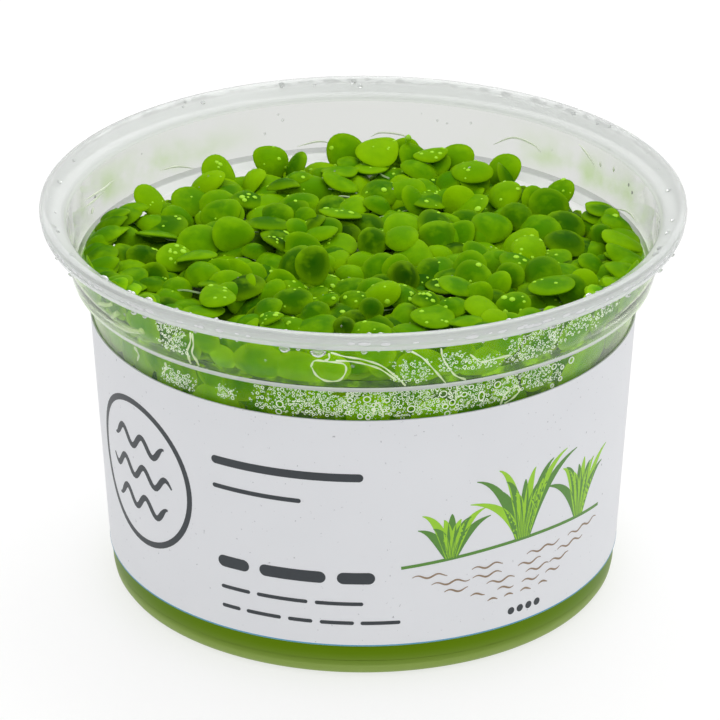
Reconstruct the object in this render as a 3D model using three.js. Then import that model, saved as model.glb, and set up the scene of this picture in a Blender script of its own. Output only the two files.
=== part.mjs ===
// Giant duckweed growing in a clear plastic tub with a wrap-around paper label.
// Millimetres, +Z up. The origin is the centre of the flat underside.

import * as THREE from 'three';

// Tub: overall size
const TUB_HEIGHT = 50;
const RIM_RADIUS = 40;
const ROUND_SEGMENTS = 64;

// Tub: wall, base and ledge
const WALL_THICKNESS = 0.7;
const FLOOR_THICKNESS = 1.0;
const FOOT_RADIUS = 31.7;
const WALL_SPREAD = 0.0575;
const CORNER_RADIUS = 1.8;
const CORNER_STEPS = 3;
const LEDGE_UNDERSIDE = 40.4;
const LEDGE_RADIUS = 35.9;
const LEDGE_LIFT = 0.4;

// Tub: collar, rim and skirt
const COLLAR_BEND_HEIGHT = 43.4;
const COLLAR_BEND_RADIUS = 36.7;
const COLLAR_TOP_HEIGHT = 47.9;
const COLLAR_TOP_RADIUS = 37.4;
const LIP_WIDTH = 0.8;
const LIP_ROUNDING = 0.3;
const SKIRT_HEIGHT = 2.2;
const SKIRT_THICKNESS = 0.5;
const SKIRT_LEAN = 0.4;

// Label
const LABEL_FOOT = 4.6;
const LABEL_TOP = 36.0;
const LABEL_THICKNESS = 0.2;
const LABEL_GAP = 0.1;

// Packed duckweed below the surface
const CONTENTS_GAP = 0.3;
const POND_RADIUS = 32.8;
const SURFACE_HEIGHT = 40.0;
const SURFACE_DOME = 0.5;
const SURFACE_RINGS = 10;
const LUMP_DEPTH = 0.8;
const LUMP_LENGTH = 6.5;

// Fronds: range of lengths, width as a share of length, thickness and upward pitch in degrees
const FROND_LENGTH = [5.2, 6.4];
const DAUGHTER_SCALE = 0.88;
const BUD_LENGTH = 3.0;
const FROND_SLIMNESS = [0.8, 0.92];
const NODE_SHARE = 0.13;
const FROND_RISE = 0.36;
const FROND_BELLY = 0.42;
const NODE_RISE = 0.28;
const FROND_PITCH = [1, 14];
const OUTLINE_ANGLES = [-165, -125, -95, -72, -52, -34, -17, 0, 17, 34, 52, 72, 95, 125];
const SHOULDER = 0.6;

// Floating colonies: grown fronds and buds in each, how many are wanted, and how often a place is tried
const COLONY_KINDS = [
  { grown: 4, buds: 0, wanted: 9, tries: 3000 },
  { grown: 3, buds: 0, wanted: 15, tries: 6000 },
  { grown: 2, buds: 0, wanted: 8, tries: 6000 },
  { grown: 1, buds: 1, wanted: 6, tries: 6000 },
  { grown: 1, buds: 0, wanted: 10, tries: 9000 },
];
const COLONY_GAP = 0.25;
const COVER_SHARES = [0.45, 0.57];
const COVER_RADIUS = 0.48;
const TURN_VARIATION = 16;
const RANDOM_SEED = 20261;

// Colonies standing on edge at the back wall: place round the wall and lean in degrees
const STANDING = [
  { place: 148, length: 5.6, lean: 38 },
  { place: 126, length: 5.6, lean: 42 },
  { place: 112, length: 5.4, lean: 44 },
  { place: 94, length: 6.0, lean: 44 },
  { place: 81, length: 5.4, lean: 34 },
  { place: 68, length: 5.8, lean: 42 },
  { place: 55, length: 5.6, lean: 44 },
  { place: 38, length: 5.2, lean: 34 },
  { place: 17, length: 5.4, lean: 38 },
];
const STANDING_RADIUS = 29.9;
const STANDING_SLIMNESS = 0.84;

// Colours
const CLEAR_PLASTIC = 0xdfe3e0;
const PAPER = 0xdcdde2;
const DEEP_GREEN = 0x4c7a14;
const LEAF_GREEN = 0x5f9a0c;
const YOUNG_GREEN = 0x86b81f;
const YOUNG_EVERY = 5;

const radians = THREE.MathUtils.degToRad;

// A small repeatable generator of numbers from 0 to 1
function randomNumbers(seed) {
  let state = seed >>> 0;
  return () => {
    state = (Math.imul(1664525, state) + 1013904223) >>> 0;
    return state / 4294967296;
  };
}

// Number between the two ends of a range
function between([low, high], share) {
  return low + (high - low) * share;
}

// Outer radius of the straight wall at a height
function wallRadius(height) {
  return FOOT_RADIUS + WALL_SPREAD * height;
}

// Quarter arc of a profile, as [radius, height] points
function cornerArc(radius, height, size, fromDegrees, toDegrees) {
  const points = [];
  for (let step = 0; step <= CORNER_STEPS; step += 1) {
    const angle = radians(fromDegrees + ((toDegrees - fromDegrees) * step) / CORNER_STEPS);
    points.push([radius + size * Math.cos(angle), height + size * Math.sin(angle)]);
  }
  return points;
}

// Solid of revolution round +Z from [radius, height] points
function turned(profile) {
  const points = profile.map(([radius, height]) => new THREE.Vector2(radius, height));
  return new THREE.LatheGeometry(points, ROUND_SEGMENTS).rotateX(Math.PI / 2);
}

function tubOutside() {
  const cornerCentre = wallRadius(CORNER_RADIUS) - CORNER_RADIUS;
  return [
    [0, 0],
    ...cornerArc(cornerCentre, CORNER_RADIUS, CORNER_RADIUS, -90, 0),
    [wallRadius(LEDGE_UNDERSIDE), LEDGE_UNDERSIDE],
    [LEDGE_RADIUS, LEDGE_UNDERSIDE + LEDGE_LIFT],
    [COLLAR_BEND_RADIUS, COLLAR_BEND_HEIGHT],
    [COLLAR_TOP_RADIUS, COLLAR_TOP_HEIGHT],
  ];
}

function tubRim() {
  const skirtFoot = TUB_HEIGHT - SKIRT_HEIGHT;
  const skirtRadius = RIM_RADIUS - SKIRT_LEAN;
  return [
    [RIM_RADIUS - SKIRT_THICKNESS - LIP_ROUNDING, TUB_HEIGHT - WALL_THICKNESS - LIP_ROUNDING],
    [skirtRadius - SKIRT_THICKNESS, skirtFoot],
    [skirtRadius, skirtFoot],
    [RIM_RADIUS, TUB_HEIGHT - LIP_ROUNDING],
    [RIM_RADIUS - LIP_ROUNDING, TUB_HEIGHT],
    [RIM_RADIUS - LIP_WIDTH, TUB_HEIGHT],
  ];
}

function tubInside() {
  const ledgeTop = LEDGE_UNDERSIDE + LEDGE_LIFT + WALL_THICKNESS / 2;
  const insideCorner = CORNER_RADIUS - WALL_THICKNESS / 2;
  const cornerCentre = wallRadius(FLOOR_THICKNESS) - WALL_THICKNESS - insideCorner;
  return [
    [COLLAR_TOP_RADIUS - WALL_THICKNESS, COLLAR_TOP_HEIGHT + WALL_THICKNESS / 2],
    [COLLAR_BEND_RADIUS - WALL_THICKNESS, COLLAR_BEND_HEIGHT],
    [LEDGE_RADIUS - WALL_THICKNESS, ledgeTop + LEDGE_LIFT],
    [wallRadius(ledgeTop) - WALL_THICKNESS, ledgeTop],
    ...cornerArc(cornerCentre, FLOOR_THICKNESS + insideCorner, insideCorner, 0, -90),
    [0, FLOOR_THICKNESS],
  ];
}

function tubGeometry() {
  return turned([...tubOutside(), ...tubRim(), ...tubInside()]);
}

function labelGeometry() {
  const inner = (height) => wallRadius(height) + LABEL_GAP;
  const outer = (height) => inner(height) + LABEL_THICKNESS;
  return turned([
    [inner(LABEL_FOOT), LABEL_FOOT],
    [outer(LABEL_FOOT), LABEL_FOOT],
    [outer(LABEL_TOP), LABEL_TOP],
    [inner(LABEL_TOP), LABEL_TOP],
    [inner(LABEL_FOOT), LABEL_FOOT],
  ]);
}

// Greatest height of the packed mass's slightly domed top at a distance from the middle
function surfaceHeight(distance) {
  const share = Math.min(distance / POND_RADIUS, 1);
  return SURFACE_HEIGHT + SURFACE_DOME * (1 - share * share);
}

// How far the uneven top lies under its greatest height, from 0 to 1
function hollow(x, y) {
  const wave = (2 * Math.PI) / LUMP_LENGTH;
  const first = Math.sin(wave * x + 1.3 * Math.sin(0.45 * wave * y));
  const second = Math.sin(wave * y + 1.3 * Math.sin(0.55 * wave * x + 2));
  return 0.5 + 0.25 * (first + second);
}

// Sinks the points of the top where fronds lie lower
function makeUneven(geometry) {
  const position = geometry.attributes.position;
  for (let index = 0; index < position.count; index += 1) {
    const height = position.getZ(index);
    if (height >= SURFACE_HEIGHT) {
      const depth = LUMP_DEPTH * hollow(position.getX(index), position.getY(index));
      position.setZ(index, height - depth);
    }
  }
  return geometry;
}

function packedMassGeometry() {
  const foot = FLOOR_THICKNESS + CONTENTS_GAP;
  const cornerCentre = wallRadius(foot) - WALL_THICKNESS - CONTENTS_GAP - CORNER_RADIUS;
  const top = [];
  for (let ring = 0; ring <= SURFACE_RINGS; ring += 1) {
    const distance = POND_RADIUS * (1 - ring / SURFACE_RINGS);
    top.push([distance, surfaceHeight(distance)]);
  }
  return makeUneven(turned([
    [0, foot],
    ...cornerArc(cornerCentre, foot + CORNER_RADIUS, CORNER_RADIUS, -90, 0),
    ...top,
  ]));
}

// Distance from a colony's node to a frond's oval edge, at an angle round the node in degrees.
// The node lies inside the oval, near its blunt end.
function frondReach(frond, angle) {
  const along = Math.cos(radians(angle - frond.turn)) / (frond.length / 2);
  const across = Math.sin(radians(angle - frond.turn)) / (frond.width / 2);
  const middle = 1 - 2 * NODE_SHARE;
  const square = along * along + across * across;
  const half = along * middle;
  return (half + Math.sqrt(half * half + square * (1 - middle * middle))) / square;
}

// Outline of the fronds grown together at one node, as { angle, reach, pitch } in turning order
function colonyOutline(fronds) {
  const outline = [];
  fronds.forEach((frond) => {
    OUTLINE_ANGLES.forEach((offset) => {
      const angle = frond.turn + offset;
      const reach = frondReach(frond, angle);
      const others = fronds.filter((other) => other !== frond);
      if (others.every((other) => frondReach(other, angle) < reach)) {
        outline.push({ angle: (angle + 720) % 360, reach, pitch: frond.pitch });
      }
    });
  });
  return outline.sort((a, b) => a.angle - b.angle);
}

// One closed, lobed, lens-shaped solid with its node at the origin
function colonyGeometry(fronds) {
  const outline = colonyOutline(fronds);
  const pointAt = (entry, share, lift) => {
    const angle = radians(entry.angle);
    const flat = entry.reach * share * Math.cos(radians(entry.pitch));
    const height = entry.reach * share * Math.sin(radians(entry.pitch)) + lift;
    return [flat * Math.cos(angle), flat * Math.sin(angle), height];
  };
  const edge = outline.map((entry) => pointAt(entry, 1, 0));
  const shoulder = outline.map((entry) => pointAt(entry, SHOULDER, FROND_RISE));
  const nodeTop = [0, 0, NODE_RISE];
  const nodeBottom = [0, 0, -FROND_BELLY];
  const positions = [];
  const triangle = (a, b, c) => positions.push(...a, ...b, ...c);
  outline.forEach((entry, index) => {
    const next = (index + 1) % outline.length;
    triangle(nodeTop, shoulder[index], shoulder[next]);
    triangle(shoulder[index], edge[index], edge[next]);
    triangle(shoulder[index], edge[next], shoulder[next]);
    triangle(nodeBottom, edge[next], edge[index]);
  });
  const geometry = new THREE.BufferGeometry();
  geometry.setAttribute('position', new THREE.Float32BufferAttribute(positions, 3));
  return geometry;
}

// Sizes and directions of a colony's fronds round its node, the mother frond first
function colonyPlan({ grown, buds }, random) {
  const count = grown + buds;
  const fronds = [];
  for (let index = 0; index < count; index += 1) {
    const scale = index > 1 ? DAUGHTER_SCALE : 1;
    const fullLength = between(FROND_LENGTH, random()) * scale;
    const length = index < grown ? fullLength : BUD_LENGTH;
    const width = length * between(FROND_SLIMNESS, random());
    const turn = (360 / count) * index + (random() - 0.5) * TURN_VARIATION;
    fronds.push({ length, width, turn, pitch: between(FROND_PITCH, random()) });
  }
  return fronds;
}

// Circles that cover a frond in plan, for keeping colonies apart
function coveringCircles(frond, spot) {
  const angle = radians(spot.heading + frond.turn);
  return COVER_SHARES.map((share) => ({
    x: spot.x + Math.cos(angle) * frond.length * (share - NODE_SHARE),
    y: spot.y + Math.sin(angle) * frond.length * (share - NODE_SHARE),
    radius: frond.width * COVER_RADIUS,
  }));
}

function isFree(circles, taken) {
  const inside = (c) => Math.hypot(c.x, c.y) + c.radius < POND_RADIUS;
  const apart = (c, t) => Math.hypot(c.x - t.x, c.y - t.y) > c.radius + t.radius + COLONY_GAP;
  return circles.every((c) => inside(c) && taken.every((t) => apart(c, t)));
}

function named(name, geometry, colour, roughness) {
  const material = new THREE.MeshStandardMaterial({ color: colour, roughness, metalness: 0 });
  const mesh = new THREE.Mesh(geometry, material);
  mesh.name = name;
  return mesh;
}

// A colony as a named mesh whose lowest point clears the surface under it
function colonyMesh(number, fronds, spot, lean) {
  const geometry = colonyGeometry(fronds).rotateY(radians(-lean));
  geometry.computeBoundingBox();
  const foot = surfaceHeight(Math.hypot(spot.x, spot.y)) + CONTENTS_GAP;
  const colour = number % YOUNG_EVERY === 0 ? YOUNG_GREEN : LEAF_GREEN;
  const mesh = named(`duckweed_${String(number).padStart(2, '0')}`, geometry, colour, 0.35);
  mesh.position.set(spot.x, spot.y, foot - geometry.boundingBox.min.z);
  mesh.rotation.z = radians(spot.heading);
  return mesh;
}

// Colonies standing on edge: their tips point up and out, towards the wall
function standingColonies(taken) {
  return STANDING.map(({ place, length, lean }, index) => {
    const frond = { length, width: length * STANDING_SLIMNESS, turn: 0, pitch: 0 };
    const spot = {
      x: STANDING_RADIUS * Math.cos(radians(place)),
      y: STANDING_RADIUS * Math.sin(radians(place)),
      heading: place,
    };
    taken.push(...coveringCircles(frond, spot));
    return colonyMesh(index + 1, [frond], spot, lean);
  });
}

// Colonies floating flat, the largest first, each wherever there is room
function floatingColonies(taken) {
  const random = randomNumbers(RANDOM_SEED);
  const meshes = [];
  COLONY_KINDS.forEach((kind) => {
    let placed = 0;
    for (let attempt = 0; attempt < kind.tries && placed < kind.wanted; attempt += 1) {
      const fronds = colonyPlan(kind, random);
      const distance = POND_RADIUS * Math.sqrt(random());
      const round = 2 * Math.PI * random();
      const heading = 360 * random();
      const spot = { x: distance * Math.cos(round), y: distance * Math.sin(round), heading };
      const circles = fronds.flatMap((frond) => coveringCircles(frond, spot));
      if (isFree(circles, taken)) {
        taken.push(...circles);
        placed += 1;
        meshes.push(colonyMesh(STANDING.length + meshes.length + 1, fronds, spot, 0));
      }
    }
  });
  return meshes;
}

const duckweedTub = new THREE.Group();
duckweedTub.add(named('tub', tubGeometry(), CLEAR_PLASTIC, 0.2));
duckweedTub.add(named('label', labelGeometry(), PAPER, 0.5));
duckweedTub.add(named('submerged_duckweed', packedMassGeometry(), DEEP_GREEN, 0.4));
const takenCircles = [];
duckweedTub.add(...standingColonies(takenCircles));
duckweedTub.add(...floatingColonies(takenCircles));

export default duckweedTub;
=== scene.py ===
"""Looks of the giant duckweed in its clear tub.

Lengths are in millimetres and become metres where a mesh is made. +Z is up and the front is
towards -Y. An azimuth is in degrees round the tub from the front, growing to the right.
"""

import math

import bpy
import numpy as np
from mathutils import Matrix, Vector


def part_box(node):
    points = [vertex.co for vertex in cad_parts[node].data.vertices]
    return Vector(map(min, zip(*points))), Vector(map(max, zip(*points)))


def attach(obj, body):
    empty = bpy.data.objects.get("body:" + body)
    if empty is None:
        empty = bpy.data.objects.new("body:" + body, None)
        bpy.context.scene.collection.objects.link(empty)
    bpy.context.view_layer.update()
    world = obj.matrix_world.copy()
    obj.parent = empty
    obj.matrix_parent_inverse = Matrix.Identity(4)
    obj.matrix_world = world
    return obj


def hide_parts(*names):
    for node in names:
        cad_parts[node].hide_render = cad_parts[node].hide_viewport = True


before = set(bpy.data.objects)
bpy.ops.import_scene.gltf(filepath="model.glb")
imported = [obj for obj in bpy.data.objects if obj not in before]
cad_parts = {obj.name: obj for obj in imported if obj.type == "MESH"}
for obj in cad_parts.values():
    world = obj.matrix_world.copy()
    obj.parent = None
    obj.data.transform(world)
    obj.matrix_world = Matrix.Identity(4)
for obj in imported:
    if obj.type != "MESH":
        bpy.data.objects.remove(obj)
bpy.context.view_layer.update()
METRE = 1000.0

# Tub, from the frame and then as the part's source has it
RIM_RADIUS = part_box("tub")[1].x * METRE
TUB_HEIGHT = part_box("tub")[1].z * METRE
WALL_THICKNESS = 0.7
FLOOR_THICKNESS = 1.0
FOOT_RADIUS = 31.7
FLOOR_EDGE = FOOT_RADIUS - 4
WALL_SPREAD = 0.0575
CORNER_ROUNDING = 1.9
LEDGE_UNDERSIDE = 40.25
LEDGE_RADIUS = 35.9
LEDGE_LIFT = 0.4
LEDGE_TOP = LEDGE_UNDERSIDE + LEDGE_LIFT
COLLAR_BEND = (36.7, 43.4)
COLLAR_TOP = (37.4, 47.9)
LIP_WIDTH = 0.8
SKIRT_HEIGHT = 2.2
SKIRT_THICKNESS = 0.5
SKIRT_LEAN = 0.4
RIDGE_DEPTHS = [0.62, 1.5]
RIDGE_RISE = 0.1
RIDGE_HALF_WIDTH = 0.22
TUB_SEGMENTS = 288

# Looks of the wall: azimuths and heights where each one starts, grows or fades
# Painted floor light: the foot turns lighter towards the table between these heights, and extra rings keep
# that gradient smooth
FLOOR_LIGHT_HEIGHTS = (0.8, 3.8)
PALE_FOOT_RINGS = (2.4, 2.9, 3.4, 3.9)
MILKY_TOP = 41.45
WET_RING_END = 116
DRY_AZIMUTHS = (62, 92)
DRY_FROM, DRY_RISE = 41.4, 2
DRY_DROP, DRY_DROP_AZIMUTHS = 2.6, (95, 115)
# Painted sheen: the milky green that the wall shows at grazing angles at both sides of the front
PAINTED_SHEEN_START, PAINTED_SHEEN_END = (46, 82), (84, 114)
PAINTED_SHEEN_LEDGE, PAINTED_SHEEN_FADE, PAINTED_SHEEN_SHIFT = (41, 42), 45.5, 14
SMEAR_FOOT, SMEAR_TOP = (41.4, 43.4), (46.5, 47.5)
SMEAR_START, SMEAR_END = (92, 112), (128, 165)

# Label
LABEL_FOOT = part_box("label")[0].z * METRE
LABEL_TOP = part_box("label")[1].z * METRE
LABEL_GAP = 0.03
LABEL_THICKNESS = 0.19
LABEL_OVERLAP = 7.0
LABEL_SEGMENTS = 300
PRINT_LIFT = 0.02
PRINT_SINK = 0.02

# Packed mass under the surface, as in the part's source
CONTENTS_GAP = 0.3
POND_RADIUS = 32.8
SURFACE_HEIGHT = 40.0
SURFACE_DOME = 0.5
LUMP_DEPTH = 0.8
LUMP_LENGTH = 6.5

# Colonies, as in the part's source
FROND_LENGTH = [5.2, 6.4]
DAUGHTER_SCALE = 0.88
BUD_LENGTH = 3.0
FROND_SLIMNESS = [0.8, 0.92]
NODE_SHARE = 0.13
MIDDLE_SHARE = 0.5 - NODE_SHARE
TIP_SHARE = 1 - NODE_SHARE
FROND_BELLY = 0.42
FROND_PITCH = [1, 14]
BACK_ANGLE = 165
COLONY_KINDS = [(4, 0, 9, 3000), (3, 0, 15, 6000), (2, 0, 8, 6000), (1, 1, 6, 6000), (1, 0, 10, 9000)]
COLONY_GAP = 0.25
COVER_SHARES = [0.45, 0.57]
COVER_RADIUS = 0.48
TURN_VARIATION = 16
RANDOM_SEED = 20261
STANDING = [
    (148, 5.6, 38), (126, 5.6, 42), (112, 5.4, 44), (94, 6.0, 44), (81, 5.4, 34),
    (68, 5.8, 42), (55, 5.6, 44), (38, 5.2, 34), (17, 5.4, 38),
]
STANDING_RADIUS = 29.9
STANDING_SLIMNESS = 0.84

# Camera at the photograph's angle, from the middle of the rim's top
CAMERA_LENS = 250.0
CAMERA_SENSOR = 36.0
CAMERA_DISTANCE = 617.0
CAMERA_ELEVATION = 25.59
CAMERA_SIDEWAYS = -0.4
CAMERA_RAISE = -20.04

# Lines of sight through the photograph's pixels
PHOTO_WIDTH = 720
SIGHT_REACH, SIGHT_STEP, SIGHT_MARGIN = 60, 0.02, 0.8

# Meshes: least angle of a sharp edge, and how far from a rounding its neighbours keep, as a share of its cut
SHARP_ANGLE = 40
ROUNDING_MARGIN = 0.3

shape_random = np.random.default_rng(7)


# Geometry helpers

def wall_radius(height):
    """Outer radius of the straight wall"""
    return FOOT_RADIUS + WALL_SPREAD * height


def inner_radius(height):
    """Inner radius of the wall, the ledge and the collar"""
    heights = [0, LEDGE_UNDERSIDE + 0.5, LEDGE_UNDERSIDE + 0.95, COLLAR_BEND[1], COLLAR_TOP[1] + 0.35]
    radii = [wall_radius(0), wall_radius(LEDGE_UNDERSIDE), LEDGE_RADIUS, COLLAR_BEND[0], COLLAR_TOP[0]]
    return np.interp(height, heights, np.array(radii) - WALL_THICKNESS)


def round_tub(azimuth, radius, height):
    """Points at azimuths in degrees from the front, at radii and heights"""
    turn = np.radians(azimuth)
    parts = np.broadcast_arrays(radius * np.sin(turn), -radius * np.cos(turn), height)
    return np.stack(parts, axis=-1)


def azimuth_of(points):
    """Azimuths of points on either side, from 0 at the front to 180 at the back"""
    return np.abs(np.degrees(np.arctan2(points[:, 0], -points[:, 1])))


def smooth_step(values, start, end):
    """0 up to start, 1 from end on, and an even curve between them"""
    share = np.clip((np.asarray(values) - start) / (end - start), 0, 1)
    return share * share * (3 - 2 * share)


def on_inner_wall(azimuth, height, depth):
    """Points a depth in from the wall's inner face"""
    return round_tub(azimuth, inner_radius(height) - depth, height)


def surface_height(distance):
    """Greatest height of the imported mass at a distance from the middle"""
    share = np.minimum(distance / POND_RADIUS, 1)
    return SURFACE_HEIGHT + SURFACE_DOME * (1 - share * share)


def hollow(x, y):
    """How far the uneven top lies under its greatest height, from 0 to 1"""
    wave = 2 * math.pi / LUMP_LENGTH
    first = np.sin(wave * x + 1.3 * np.sin(0.45 * wave * y))
    second = np.sin(wave * y + 1.3 * np.sin(0.55 * wave * x + 2))
    return 0.5 + 0.25 * (first + second)


def new_object(name, data):
    """An object of the given data, in the scene"""
    made = bpy.data.objects.new(name, data)
    bpy.context.scene.collection.objects.link(made)
    return made


def make_piece(name, points, faces, materials, slot=None, replaces=(), face_material=None, attributes=None):
    """A smooth-shaded mesh on the root body, from points in millimetres"""
    mesh = bpy.data.meshes.new(name)
    mesh.from_pydata((np.asarray(points) / METRE).tolist(), [], faces)
    for material in materials:
        mesh.materials.append(material)
    if face_material is not None:
        mesh.polygons.foreach_set("material_index", np.asarray(face_material, dtype=np.int32))
    for key, values in (attributes or {}).items():
        layer = mesh.attributes.new(key, "FLOAT", "POINT")
        layer.data.foreach_set("value", np.asarray(values, dtype=np.float32))
    mesh.shade_smooth()
    mesh.set_sharp_from_angle(angle=math.radians(SHARP_ANGLE))
    piece = new_object(name, mesh)
    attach(piece, "root")
    if replaces:
        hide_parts(*replaces)


def rounded(corners, steps=4):
    """An outline of (radius, height, cut) corners, each rounded from cut before it to cut after"""
    points = []
    for index, (radius, height, cut) in enumerate(corners):
        corner = np.array([radius, height], dtype=float)
        if not cut:
            points.append(corner)
            continue
        before = np.array(corners[index - 1][:2]) - corner
        after = np.array(corners[(index + 1) % len(corners)][:2]) - corner
        start = corner + before / np.linalg.norm(before) * cut
        end = corner + after / np.linalg.norm(after) * cut
        points.append(start + (start - corner) * ROUNDING_MARGIN)
        for step in range(steps + 1):
            share = step / steps
            points.append((1 - share) ** 2 * start + 2 * share * (1 - share) * corner + share**2 * end)
        points.append(end + (end - corner) * ROUNDING_MARGIN)
    return np.array(points)


def strip(low, high, count, closed=True):
    """Faces between two rows of count points, whose first points are low and high"""
    steps = [(i, (i + 1) % count) for i in range(count if closed else count - 1)]
    return [(low + i, low + j, high + j, high + i) for i, j in steps]


def between_poles(rings, sides, start, first_pole, last_pole):
    """Faces of a closed solid: rings of points, the first from index start on, between two poles"""
    last = start + (rings - 1) * sides
    around = [(i, (i + 1) % sides) for i in range(sides)]
    faces = [(first_pole, start + j, start + i) for i, j in around]
    for low in range(start, last, sides):
        faces += strip(low, low + sides, sides)
    return faces + [(last_pole, last + i, last + j) for i, j in around]


def round_section(rows, count, closed=True):
    """Faces of a band whose rows of count points, in turn round its section, start at these indexes"""
    pairs = zip(rows, rows[1:] + rows[:1])
    return [face for low, high in pairs for face in strip(low, high, count, closed)]


def flipped(faces):
    """The same faces turned the other way"""
    return [(face[0], *face[:0:-1]) for face in faces]


def shifted(faces, by):
    """The same faces with every index raised"""
    return [tuple(corner + by for corner in face) for face in faces]


def merged(solids):
    """Several solids, each its points and faces, as one"""
    points, faces, count = [], [], 0
    for solid_points, solid_faces in solids:
        points.append(solid_points)
        faces += shifted(solid_faces, count)
        count += len(solid_points)
    return np.concatenate(points), faces


def repeated(template_faces, copies):
    """Points and faces of many copies of a template, from an array with the points of each copy"""
    size = copies.shape[1]
    faces = [face for copy in range(len(copies)) for face in shifted(template_faces, copy * size)]
    return copies.reshape(-1, 3), faces


def turned(profile, segments):
    """Points and faces of a solid of revolution, with a pole where the profile meets the axis"""
    azimuths = np.degrees(np.linspace(0, 2 * math.pi, segments, endpoint=False))
    rings = [round_tub(azimuths, radius, height) for radius, height in profile[1:-1]]
    poles = [[0, 0, profile[0][1]], [0, 0, profile[-1][1]]]
    size = len(rings) * segments
    return np.concatenate([*rings, poles]), between_poles(len(rings), segments, 0, size, size + 1)


# Materials

def new_material(name):
    """A material with a Principled shader, as (material, tree, shader)"""
    material = bpy.data.materials.new(name)
    material.use_nodes = True
    tree = material.node_tree
    return material, tree, tree.nodes["Principled BSDF"]


def set_inputs(tree, node, inputs):
    """Links each input that is a socket and sets any other"""
    for key, value in inputs.items():
        if isinstance(value, bpy.types.NodeSocket):
            tree.links.new(value, node.inputs[key])
        else:
            node.inputs[key].default_value = value


def add_node(tree, kind, inputs, **settings):
    """A new node with its settings, and its inputs linked or set"""
    made = tree.nodes.new(kind)
    for key, value in settings.items():
        setattr(made, key, value)
    set_inputs(tree, made, inputs)
    return made


def noise(tree, size, detail=2.0, roughness=0.5):
    """A noise value whose lumps are about size millimetres across"""
    place = add_node(tree, "ShaderNodeTexCoord", {}).outputs["Object"]
    inputs = {"Vector": place, "Scale": METRE / size, "Detail": detail, "Roughness": roughness}
    return add_node(tree, "ShaderNodeTexNoise", inputs).outputs["Fac"]


def attribute(tree, name):
    """The value that a mesh has at each point under a name"""
    return add_node(tree, "ShaderNodeAttribute", {}, attribute_name=name).outputs["Fac"]


def calculated(tree, kind, first, second):
    """Two values put through one kind of calculation"""
    return add_node(tree, "ShaderNodeMath", {0: first, 1: second}, operation=kind).outputs[0]


def ramp(tree, value, stops):
    """A colour ramp with (position, colour) stops"""
    made = add_node(tree, "ShaderNodeValToRGB", {"Fac": value})
    elements = made.color_ramp.elements
    while len(elements) < len(stops):
        elements.new(1.0)
    for element, (position, colour) in zip(elements, stops):
        element.position = position
        element.color = (*colour, 1)
    return made.outputs["Color"]


def fade(tree, value, stops):
    """A ramp of greys with (position, level) stops"""
    return ramp(tree, value, [(position, (level, level, level)) for position, level in stops])


def blended(tree, share, first, second, kind="MIX"):
    """A mix of two colours; each is a socket or three numbers"""
    colours = [c if isinstance(c, bpy.types.NodeSocket) else (*c, 1) for c in (first, second)]
    inputs = {"Fac": share, "Color1": colours[0], "Color2": colours[1]}
    return add_node(tree, "ShaderNodeMixRGB", inputs, blend_type=kind).outputs["Color"]


def tinted(tree, colour, tint):
    """A colour multiplied by another"""
    return blended(tree, 1.0, colour, tint, "MULTIPLY")


def bump(tree, height, strength, distance):
    """A bump of a height socket, distance millimetres deep"""
    inputs = {"Height": height, "Strength": strength, "Distance": distance / METRE}
    return add_node(tree, "ShaderNodeBump", inputs).outputs["Normal"]


def painted_glow(colour, strength):
    """Inputs for a colour that gives off a share of itself: painted light, as the surface is no lamp"""
    return {"Base Color": colour, "Emission Color": colour, "Emission Strength": strength}


def let_light_through(tree, shader, share, inputs):
    """Makes a share of the surface translucent"""
    through = add_node(tree, "ShaderNodeBsdfTranslucent", inputs)
    mixed = add_node(tree, "ShaderNodeMixShader", {0: share, 1: shader.outputs[0], 2: through.outputs[0]})
    tree.links.new(mixed.outputs[0], tree.nodes["Material Output"].inputs["Surface"])


def clear_plastic(name, wet, dry_and_floor_lit, roughness, clearness, ripple, gloss=(1, 1, 1), ior=1.49):
    """Moulded plastic, coloured from wet to dried and lighter near the table as painted floor light, with a
    painted sheen at the sides of the front; clearness is the share that lets light through
    """
    material, tree, shader = new_material(name)
    waves = bump(tree, noise(tree, 4.0), ripple, 0.3)
    colour = blended(tree, attribute(tree, "dry_and_floor_lit"), wet, dry_and_floor_lit)
    # Painted sheen: milky green and less clear at both sides of the front
    colour = blended(tree, attribute(tree, "painted_sheen"), colour, PAINTED_SHEEN_COLOUR)
    patches = fade(tree, noise(tree, 5.0, 3.0), [(0.4, 0), (0.7, 1)])
    smeared = calculated(tree, "MULTIPLY", patches, attribute(tree, "smear"))
    colour = blended(tree, smeared, colour, SMEAR_COLOUR)
    lost = calculated(tree, "MULTIPLY", attribute(tree, "painted_sheen"), PAINTED_SHEEN_SHARE)
    clear = calculated(tree, "SUBTRACT", clearness, lost)
    values = {"Base Color": colour, "Roughness": roughness, "IOR": ior, "Specular Tint": (*gloss, 1)}
    set_inputs(tree, shader, {**values, "Transmission Weight": clear, "Normal": waves})
    return material


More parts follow.
